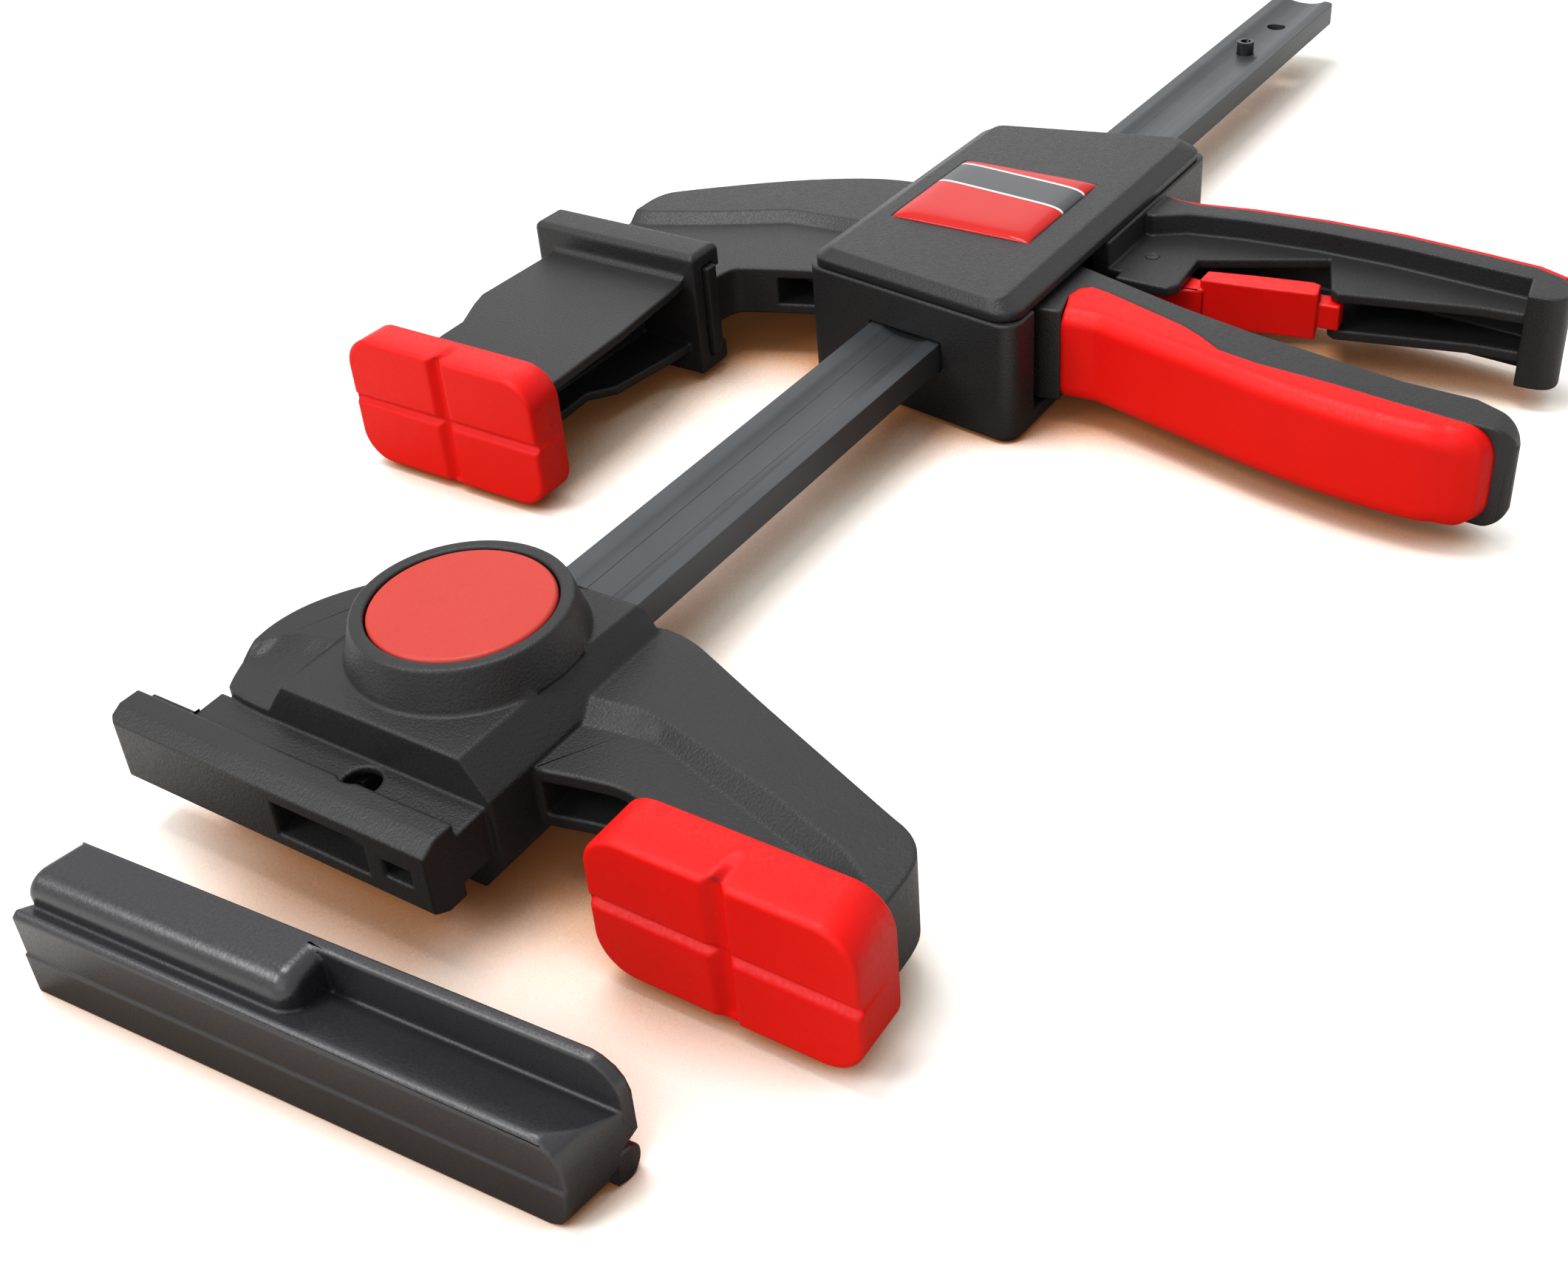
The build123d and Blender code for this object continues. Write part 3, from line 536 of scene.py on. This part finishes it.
def printed_badge():
    """Inks by distance from the line x = BAND_X + BAND_SLOPE * y."""
    material, tree, where, output = new_material("Print under clear resin")
    x, y, _ = add(tree, "ShaderNodeSeparateXYZ", Vector=where).outputs
    upright = add(tree, "ShaderNodeMath", {"operation": "MULTIPLY_ADD"}, i0=y, i1=-BAND_SLOPE, i2=x)
    off = add(
        tree, "ShaderNodeMath", {"operation": "SUBTRACT"}, i0=upright.outputs[0], i1=BAND_X
    )
    distance = add(tree, "ShaderNodeMath", {"operation": "ABSOLUTE"}, i0=off.outputs[0])
    cloud = noise(tree, where, PRINT_CLOUD_MM)
    ink = add(
        tree, "ShaderNodeMix", COLOURS, i0=cloud, i6=linear("#C01008"), i7=linear("#CA180E")
    ).outputs[2]
    for reach, colour in ((BAND_HALF + LINE_WIDTH, "#E9E4E2"), (BAND_HALF, "#4A4C4F")):
        inside = add(
            tree,
            "ShaderNodeMapRange",
            Value=distance.outputs[0],
            From_Min=reach - INK_EDGE,
            From_Max=reach + INK_EDGE,
            To_Min=1.0,
            To_Max=0.0,
        )
        ink = add(
            tree, "ShaderNodeMix", COLOURS, i0=inside.outputs[0], i6=ink, i7=linear(colour)
        ).outputs[2]
    shader = add(
        tree,
        "ShaderNodeBsdfPrincipled",
        Base_Color=ink,
        Roughness=0.4,
        IOR=1.5,
        Specular_IOR_Level=0.1,
        Coat_Weight=0.25,
        Coat_Roughness=0.04,
    )
    tree.links.new(shader.outputs[0], output.inputs["Surface"])
    return material


finishes["red_badge"] = printed_badge()
print("badge line and band reach", (BAND_HALF + LINE_WIDTH) / MM, BAND_HALF / MM, "mm")

# %% [markdown]
# ## Rounded edges
# Nothing that comes out of a mould has knife edges. Fillets could be cut in the
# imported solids, but dozens of small ones make such a model slow and fragile. So
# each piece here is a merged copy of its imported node, with a Bevel modifier on
# the edges that are sharper than a limit, and with normals weighted by face size,
# so that flat faces stay flat. Two pieces weigh their edges, to round some more
# than others.

# %% Rounded copies
SHARP_ANGLE = 28.0
FLAT_ANGLE = 0.6  # faces closer to one plane than this are one face
MERGE_GAP = 0.001 * MM
dressed = set()


def finish(piece, node):
    """Gives a piece its node's body and the material of its node's slot, and hides the node."""
    slot = slot_of_node[node]
    piece.data.materials.clear()
    piece.data.materials.append(finishes[slot])
    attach(piece, body_of_node[node])
    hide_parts(node)
    dressed.add(node)


def rounded(node, width_mm, weigh):
    """A copy of a node with rounded edges, which stands for the node.

    weigh takes an edge's middle, in millimetres, and gives its share of the width.
    """
    work = bmesh.new()
    work.from_mesh(nodes[node].data)
    bmesh.ops.remove_doubles(work, verts=work.verts, dist=MERGE_GAP)
    bmesh.ops.dissolve_limit(
        work, angle_limit=radians(FLAT_ANGLE), verts=work.verts, edges=work.edges
    )
    weights = work.edges.layers.float.new("bevel_weight_edge")
    for edge in work.edges:
        sharp = len(edge.link_faces) == 2 and edge.calc_face_angle() > radians(SHARP_ANGLE)
        middle_mm = (edge.verts[0].co + edge.verts[1].co) / 2 / MM
        edge[weights] = weigh(middle_mm) if sharp else 0.0
        edge.smooth = True
    for face in work.faces:
        face.smooth = True
    mesh = bpy.data.meshes.new(node + "_rounded")
    work.to_mesh(mesh)
    work.free()
    piece = bpy.data.objects.new(node + "_rounded", mesh)
    bpy.context.scene.collection.objects.link(piece)
    bevel = piece.modifiers.new("Edge rounding", "BEVEL")
    bevel.width, bevel.segments = width_mm * MM, 3
    bevel.limit_method, bevel.use_clamp_overlap = "WEIGHT", False
    piece.modifiers.new("Flat faces", "WEIGHTED_NORMAL")
    finish(piece, node)
    return piece


print("edges sharper than", SHARP_ANGLE, "degrees are rounded")

# %% Edges that differ
# places in millimetres, and shares of the piece's own rounding
BAR_SEAM_Z, BAR_SEAM_HALF, BAR_SEAM_SHARE = 4.4, 0.5, 0.04
BAR_END_Y, BAR_GROOVE_Z, BAR_SIDE_SHARE = 26.0, 12.6, 0.2
CLIP_FOOT_Z, CLIP_TOP_Z, CLIP_SIDE_SHARE = -1.8, 28.2, 0.25
NECK_END_X, NECK_END_HALF, NECK_EDGE_Z = 130.8, 0.4, 21.5


def all_alike(_):
    """Every edge takes the full width."""
    return 1.0


def ends_of_the_bar(middle_mm):
    """Wide on the block's outer end, and next to nothing on the parting step."""
    _, y, z = middle_mm
    if abs(z - BAR_SEAM_Z) < BAR_SEAM_HALF:
        return BAR_SEAM_SHARE
    return 1.0 if y > BAR_END_Y and z > BAR_GROOVE_Z else BAR_SIDE_SHARE


def rim_of_the_clip(middle_mm):
    """Wide along the clip's top and foot and where the neck's top meets it."""
    x, _, z = middle_mm
    on_rim = z > CLIP_TOP_Z or z < CLIP_FOOT_Z
    on_neck = abs(x - NECK_END_X) < NECK_END_HALF and z > NECK_EDGE_Z
    return 1.0 if on_rim or on_neck else CLIP_SIDE_SHARE


print("on the clip's rim and below it", rim_of_the_clip((0, 0, 30)), rim_of_the_clip((0, 0, 9)))

# %% Round the moulded pieces and the bar
ROUNDINGS = {  # millimetres, and which edges take them
    "fixed_head": (0.4, all_alike),
    "slide_body": (0.4, all_alike),
    "pump_lever": (0.4, all_alike),
    "handle_strip": (0.4, all_alike),
    "release_lever": (0.4, all_alike),
    "extension_jaw": (1.6, rim_of_the_clip),
    "press_bar": (1.5, ends_of_the_bar),
    "release_button": (0.3, all_alike),
    "rail": (0.2, all_alike),
}

for node, (width_mm, weigh) in ROUNDINGS.items():
    piece = rounded(node, width_mm, weigh)
    print(node, "faces", len(piece.data.polygons))

# %% [markdown]
# ## Surfaces built from rings
# The grip, the pads and the cover have one closed outline that shrinks and
# shifts from back to front. They could be sculpted or subdivided from a few
# faces, but then their grooves and rims would have no exact place. Here each is
# a stack of closed rings, and a list of insets and heights gives the whole skin.

# %% Rings
ARC_POINTS = 25


def rounded_outline(corners, radius, count):
    """Points of a convex outline whose corners are arcs of the radius.

    Corner arc: centre + radius * (cos t, sin t), t from one side's outward
    normal to the next one's. The points are then spread evenly by length.
    """
    corners = np.array(corners, float)
    before, after = np.roll(corners, 1, 0), np.roll(corners, -1, 0)
    arcs = []
    for near, corner, far in zip(before, corners, after):
        along_in = (corner - near) / np.linalg.norm(corner - near)
        along_out = (far - corner) / np.linalg.norm(far - corner)
        normal_in = np.array([along_in[1], -along_in[0]])
        normal_out = np.array([along_out[1], -along_out[0]])
        turn = np.arccos(np.clip(along_in @ along_out, -1, 1))
        centre = corner - radius * (normal_in + normal_out) / (1 + np.cos(turn))
        start = np.arctan2(normal_in[1], normal_in[0])
        angles = start + turn * np.linspace(0, 1, ARC_POINTS)
        arcs.append(centre + radius * np.stack([np.cos(angles), np.sin(angles)], -1))
    path = np.concatenate([*arcs, arcs[0][:1]])
    length = np.append(0, np.cumsum(np.linalg.norm(np.diff(path, axis=0), axis=1)))
    at = np.linspace(0, length[-1], count, endpoint=False)
    return np.stack([np.interp(at, length, path[:, i]) for i in (0, 1)], -1)


def solid_piece(points, faces, name):
    """A smooth piece from points and faces, with every face turned outwards."""
    mesh = bpy.data.meshes.new(name)
    mesh.from_pydata(points, [], faces)
    work = bmesh.new()
    work.from_mesh(mesh)
    bmesh.ops.recalc_face_normals(work, faces=work.faces)
    work.to_mesh(mesh)
    work.free()
    mesh.polygons.foreach_set("use_smooth", [True] * len(mesh.polygons))
    piece = bpy.data.objects.new(name, mesh)
    bpy.context.scene.collection.objects.link(piece)
    return piece


def ring_skin(rings, name):
    """One closed mesh from rings of equal length, with a face over each end."""
    rings = np.asarray(rings, float)
    levels, count = rings.shape[:2]
    index = np.arange(levels * count).reshape(levels, count)
    beside = np.roll(index, -1, 1)
    quads = np.stack([index[:-1], beside[:-1], beside[1:], index[1:]], -1)
    faces = [*quads.reshape(-1, 4).tolist(), index[0].tolist(), index[-1].tolist()]
    return solid_piece(rings.reshape(-1, 3).tolist(), faces, name)


print("points on each corner's arc", ARC_POINTS)

# %% [markdown]
# ## Grip
# The soft grip is moulded over the lever's front, so that the palm meets rubber.
# It ends at a wavy seam where it stands proud of the black nylon. A bevel of the
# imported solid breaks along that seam, so the grip is made of rings instead. All
# follow one plan, a seam at the back and a bowed front. Towards the top and the
# bottom the front draws back along a quarter circle, and so does the free end.

# %% Grip plan, in millimetres
GRIP_SEAM = np.array(
    [
        (150.9, -33.0),
        (158.5, -31.2),
        (162.5, -31.8),
        (164.4, -34.0),
        (163.6, -38.0),
        (156.2, -58.6),
        (153.3, -63.9),
        (149.4, -69.4),
        (147.4, -78.4),
        (146.1, -94.1),
        (144.0, -109.6),
        (143.1, -118.4),
        (142.6, -128.2),
    ]
)
GRIP_FRONT = np.array(
    [
        (139.6, -126.4),
        (137.6, -121.7),
        (136.4, -114.4),
        (137.4, -99.4),
        (140.3, -82.5),
        (145.0, -64.9),
        (151.4, -41.0),
    ]
)
GRIP_STEPS = 14  # points from one of these to the next
TIP_STEPS, ROOT_STEPS = 6, 10  # points from seam to front at the grip's two ends


def curve_through(points, steps):
    """Cubic through each point, its slope there half the step between neighbours.

    p(t) = p0 (1 - 3t^2 + 2t^3) + p1 (3t^2 - 2t^3) + m0 (t - 2t^2 + t^3) + m1 (t^3 - t^2).
    """
    slopes = np.gradient(points, axis=0)
    t = np.linspace(0, 1, steps, endpoint=False)[:, None]
    parts = [
        points[i] * (1 - 3 * t**2 + 2 * t**3)
        + points[i + 1] * (3 * t**2 - 2 * t**3)
        + slopes[i] * (t - 2 * t**2 + t**3)
        + slopes[i + 1] * (t**3 - t**2)
        for i in range(len(points) - 1)
    ]
    return np.concatenate([*parts, points[-1:]])


def straight_through(points, steps):
    """Evenly spaced points on the straight lines p(t) = p0 + (p1 - p0) t."""
    t = np.linspace(0, 1, steps, endpoint=False)[:, None]
    parts = [a + (b - a) * t for a, b in zip(points[:-1], points[1:])]
    return np.concatenate([*parts, points[-1:]])


seam = straight_through(GRIP_SEAM, GRIP_STEPS)
front = np.concatenate(
    [
        straight_through([GRIP_SEAM[-1], GRIP_FRONT[0]], TIP_STEPS)[1:-1],
        curve_through(GRIP_FRONT, GRIP_STEPS),
        straight_through([GRIP_FRONT[-1], GRIP_SEAM[0]], ROOT_STEPS)[1:-1],
    ]
)
print("grip plan", len(front), "points in front", len(seam), "along the seam")

# %% Grip
GRIP_MIDDLE, GRIP_HALF = 13.2, 11.0  # height of its middle, and half its thickness
GRIP_EDGE, GRIP_END_EDGE = 4.0, 6.5  # radius along the front, and at the free end
GRIP_END_REACH = 13.0  # how far the free end's rounding reaches along the lever
FRONT_END_REACH = 8.0  # from the free end to where the front draws back fully
EDGE_RINGS = 9


def make_grip():
    """Rings at z = middle +- (half - r (1 - sin t)), drawn back by r (1 - cos t)."""
    end_y = GRIP_SEAM[-1, 1]
    bowed = np.clip((front[:, 1] - end_y) / FRONT_END_REACH, 0, 1)
    # of the seam, only the short first stretch, at the lever's root, draws back
    corner = np.clip((GRIP_SEAM[1, 0] - seam[:, 0]) / (GRIP_SEAM[1, 0] - GRIP_SEAM[0, 0]), 0, 1)
    corner[GRIP_STEPS:] = 0.0
    plan = np.concatenate([front, seam])
    back = np.concatenate([bowed, corner])
    near_end = np.clip(1 - (plan[:, 1] - end_y) / GRIP_END_REACH, 0, 1)
    drop = GRIP_EDGE + (GRIP_END_EDGE - GRIP_EDGE) * near_end
    turns = np.radians(np.linspace(0, 90, EDGE_RINGS))
    rings = []
    for side, t in [*((-1, t) for t in turns[::-1]), *((1, t) for t in turns)]:
        x = plan[:, 0] + GRIP_EDGE * back * (1 - np.cos(t))
        y = plan[:, 1] + GRIP_END_EDGE * near_end * (1 - np.cos(t))
        z = GRIP_MIDDLE + side * (GRIP_HALF - drop * (1 - np.sin(t)))
        rings.append(np.column_stack([x, y, z]))
    grip = ring_skin(np.array(rings) * MM, "grip_soft")
    grip.modifiers.new("Flat faces", "WEIGHTED_NORMAL")
    finish(grip, "pump_grip")
    print("grip", len(grip.data.polygons), "faces")


make_grip()

# %% [markdown]
# ## Pads
# A pad is a soft cap pushed over a plate on the jaw, so that the work isn't
# marked. Its face is crossed by a wide upright groove and a narrow level one.
# Grooves could be cut with booleans, but these have soft sides, so each ring's
# points are simply pushed in by a depth that depends on their place. The rings go
# from the middle of the face over the rim to the back and into the hollow.

# %% Pads
PAD_CORNER = 7.0 * MM
PAD_RIM = 0.9 * MM
PAD_BACK_EDGE = 0.5 * MM
PAD_SEAT = 5.0 * MM  # from the face to the floor of the hollow
PAD_SEAT_SHAPE = np.array([(19.7, 6.0), (16.1, 10.0)]) * MM  # two corners of its outline
PAD_MIDDLE = 0.05 * MM  # half the height of the smallest ring
LEAST_CORNER = 0.02 * MM
EXTENSION_PAD_SIZE = 1.09  # the seat of the extension's pad against the fixed one's
CENTRE_SHARE = 0.1  # the last ring of a flat end, as a share of the one around it
FACE_RINGS, RIM_RINGS, PAD_POINTS = 45, 10, 440
UPRIGHT_GROOVE = {"half_width": 2.2 * MM, "depth": 1.7 * MM}
UPRIGHT_SHIFT = 0.2 * MM
LEVEL_GROOVE = {"half_width": 1.3 * MM, "depth": 1.4 * MM}


def groove(offset, half_width, depth):
    """depth * cos(pi/2 * min(|offset| / half_width, 1)) ** 1.5, a soft V."""
    share = np.clip(np.abs(offset) / half_width, 0, 1)
    return depth * np.cos(share * np.pi / 2) ** 1.5


def seat_reach(direction, size):
    """How far the seat's eight-sided outline lies from its middle.

    1 / max(y / wide, z / high, (a y + b z) / c), where a y + b z = c is the
    slanting side through both corners.
    """
    (wide, low), (narrow, high) = PAD_SEAT_SHAPE * size
    y, z = np.abs(direction[:, 0]), np.abs(direction[:, 1])
    a, b = high - low, wide - narrow
    limits = [y / wide, z / high, (y * a + z * b) / (wide * a + low * b)]
    return 1 / np.max(limits, axis=0)


def make_pad(node, size):
    """Rings from the middle of the face, over the rim, round to the seat.

    Rim: inset = r (1 - sin t), drop = r (1 - cos t), t from 0 to 90 degrees.
    """
    low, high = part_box(node)
    centre = np.array([(low.y + high.y) / 2, (low.z + high.z) / 2])
    half = np.array([(high.y - low.y) / 2, (high.z - low.z) / 2])
    signs = np.array([(-1, -1), (1, -1), (1, 1), (-1, 1)])
    turns = np.radians(np.linspace(0, 90, RIM_RINGS))
    face = np.linspace(half[1] - PAD_MIDDLE, PAD_RIM, FACE_RINGS + 1)[:-1]
    insets = [*face, *(PAD_RIM * (1 - np.sin(turns)))]
    drops = [*np.zeros(FACE_RINGS), *(PAD_RIM * (1 - np.cos(turns)))]
    rings = []
    for inset, drop in zip(insets, drops):
        radius = max(PAD_CORNER - inset, LEAST_CORNER)
        outline = rounded_outline(signs * (half - inset), radius, PAD_POINTS)
        upright = groove(outline[:, 0] + UPRIGHT_SHIFT, **UPRIGHT_GROOVE)
        level = groove(outline[:, 1], **LEVEL_GROOVE)
        depth = low.x + drop + np.maximum(upright, level) * (1 - drop / PAD_RIM)
        rings.append(np.column_stack([depth, outline + centre]))
    back = rounded_outline(signs * half, PAD_CORNER, PAD_POINTS)
    inner_back = rounded_outline(
        signs * (half - PAD_BACK_EDGE), PAD_CORNER - PAD_BACK_EDGE, PAD_POINTS
    )
    direction = back / np.linalg.norm(back, axis=1)[:, None]
    seat = direction * seat_reach(direction, size)[:, None]
    hollow = low.x + PAD_SEAT
    for x, outline in (
        (high.x - PAD_BACK_EDGE, back),
        (high.x, inner_back),
        (high.x, seat),
        (hollow, seat),
        (hollow, seat * CENTRE_SHARE),
    ):
        rings.append(np.column_stack([np.full(PAD_POINTS, x), outline + centre]))
    pad = ring_skin(rings, node + "_cap")
    finish(pad, node)
    print(node, len(pad.data.polygons), "faces")


make_pad("fixed_jaw_pad", 1.0)
make_pad("extension_pad", EXTENSION_PAD_SIZE)

# %% [markdown]
# ## Cover
# The cover is a lid on the box, with an upright edge, a broad sloping rim and a
# flat top. A plain chamfer would leave a hard line at both ends of the slope, so
# the rings crowd there and follow short parabolas. A thin step is left where the
# cover meets the box, which shows as the parting line, and the badge lies in a
# shallow square seat.

# %% Cover
COVER_BASE = [(136.8, -28.2), (242.9, -28.2), (230.8, 26.9), (145.1, 26.9)]
COVER_CROWN = [(139.0, -23.9), (239.8, -23.9), (228.4, 22.8), (146.9, 22.8)]
BASE_CORNER, CROWN_CORNER = 5.0 * MM, 2.6 * MM
COVER_LOW, COVER_EDGE, COVER_TOP = 25.4 * MM, 27.5 * MM, 29.7 * MM
PARTING_INSET, PARTING_HEIGHT = 0.4 * MM, 0.3 * MM
SLOPE_SOFT = 0.14  # the share of the slope that each rounded end takes
TOP_RUN_ON = 0.6  # how far the upper end runs on past the crown, as a share of that
TOP_RIM_SHARE = 0.02  # from the rim of the flat top towards its middle
SEAT_GAP = 0.1 * MM
SEAT_RIM = 1.02  # the ring around the seat, against the seat
EDGE_STEPS, TOP_STEPS, COVER_POINTS = 7, 9, 480


def level_ring(outline, z):
    """An outline in x and y, set at the height z."""
    return np.column_stack([outline, np.full(len(outline), z)])


def make_cover():
    """Rings up the edge, over the slope, across the top and into the badge seat.

    Edge into slope: z = edge - soft * rise * (1 - t)**2 + soft * rise * t**2.
    Slope into top: z = top - soft * rise * (1 - t)**2, t from 0 to 1.
    """
    base = rounded_outline(np.array(COVER_BASE) * MM, BASE_CORNER, COVER_POINTS)
    crown = rounded_outline(np.array(COVER_CROWN) * MM, CROWN_CORNER, COVER_POINTS)
    soft_rise = SLOPE_SOFT * (COVER_TOP - COVER_EDGE)

    def between(share, z):
        return level_ring(base + (crown - base) * share, z)

    middle = base.mean(0)
    outwards = base - middle
    parting = middle + outwards * (1 - PARTING_INSET / np.abs(outwards).max())
    rings = [
        level_ring(middle + outwards * CENTRE_SHARE, COVER_LOW),
        level_ring(parting, COVER_LOW),
        between(0.0, COVER_LOW + PARTING_HEIGHT),
    ]
    for t in np.linspace(0, 1, EDGE_STEPS):
        rings.append(between(SLOPE_SOFT * t**2, COVER_EDGE + soft_rise * (t**2 - (1 - t) ** 2)))
    for t in np.linspace(0, 1, TOP_STEPS):
        share = 1 - SLOPE_SOFT + SLOPE_SOFT * (t + TOP_RUN_ON * t**2)
        rings.append(between(share, COVER_TOP - soft_rise * (1 - t) ** 2))
    low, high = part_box("badge_plate")
    centre = np.array([(low.x + high.x) / 2, (low.y + high.y) / 2])
    half = np.array([(high.x - low.x) / 2, (high.y - low.y) / 2]) + SEAT_GAP
    seat = (crown - centre) / np.max(np.abs(crown - centre) / half, axis=1)[:, None]
    top_rim = rings[-1][:, :2]
    # one more ring just inside the rim keeps the flat top's shading flat
    rings.append(level_ring(top_rim + (centre - top_rim) * TOP_RIM_SHARE, COVER_TOP))
    for z, scale in (
        (COVER_TOP, SEAT_RIM),
        (COVER_TOP, 1.0),
        (low.z, 1.0),
        (low.z, CENTRE_SHARE),
    ):
        rings.append(level_ring(centre + seat * scale, z))
    cover = ring_skin(rings, "cover_lid")
    cover.modifiers.new("Flat faces", "WEIGHTED_NORMAL")
    finish(cover, "housing_cover")
    print("cover", len(cover.data.polygons), "faces")


make_cover()

# %% [markdown]
# ## Domed badge
# Liquid resin poured on a film draws itself into a shallow dome that falls
# steeply at its rim. A fluid or cloth could be simulated to find that shape, but
# it is nearly the product of two flat-topped curves, one along each side, and a
# grid with that height is quick and exact.

# %% Domed badge
DOME_STEPS = 64
DOME_RISE = 1.5 * MM
DOME_FLATNESS = 9  # a higher power keeps more of the top flat


def make_badge():
    """Height = rise * ((1 - |u|**9) * (1 - |v|**9)) ** 0.5 over u, v in -1..1."""
    low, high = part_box("badge_plate")
    centre, half = (low + high) / 2, (high - low) / 2
    side = np.sin(np.linspace(-0.5, 0.5, DOME_STEPS) * np.pi)
    u, v = np.meshgrid(side, side, indexing="ij")
    fall = (1 - np.abs(u) ** DOME_FLATNESS) * (1 - np.abs(v) ** DOME_FLATNESS)
    crown = np.clip(fall, 0, 1) ** 0.5
    z = high.z - DOME_RISE + crown * DOME_RISE
    top = np.stack([centre.x + u * half.x, centre.y + v * half.y, z], -1).reshape(-1, 3)
    index = np.arange(DOME_STEPS**2).reshape(DOME_STEPS, DOME_STEPS)
    quads = np.stack([index[:-1, :-1], index[1:, :-1], index[1:, 1:], index[:-1, 1:]], -1)
    rim = np.concatenate([index[0, :-1], index[:-1, -1], index[-1, :0:-1], index[:0:-1, 0]])
    foot = top[rim].copy()
    foot[:, 2] = low.z
    under = len(top) + np.arange(len(rim))
    walls = np.stack([rim, np.roll(rim, -1), np.roll(under, -1), under], -1)
    faces = [*quads.reshape(-1, 4).tolist(), *walls.tolist(), under[::-1].tolist()]
    badge = solid_piece(np.concatenate([top, foot]).tolist(), faces, "badge_dome")
    finish(badge, "badge_plate")
    print("badge", len(badge.data.polygons), "faces")


make_badge()

# %% [markdown]
# ## Small steel pieces
# The springs, plates, pins and screws have no soft edges to add, and most of
# them are hidden. A copy of each would change nothing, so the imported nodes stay
# as they are and only take their steel.

# %% Remaining nodes
for node, node_object in nodes.items():
    if node not in dressed:
        node_object.data.materials.clear()
        node_object.data.materials.append(finishes[slot_of_node[node]])
        print("kept", node)
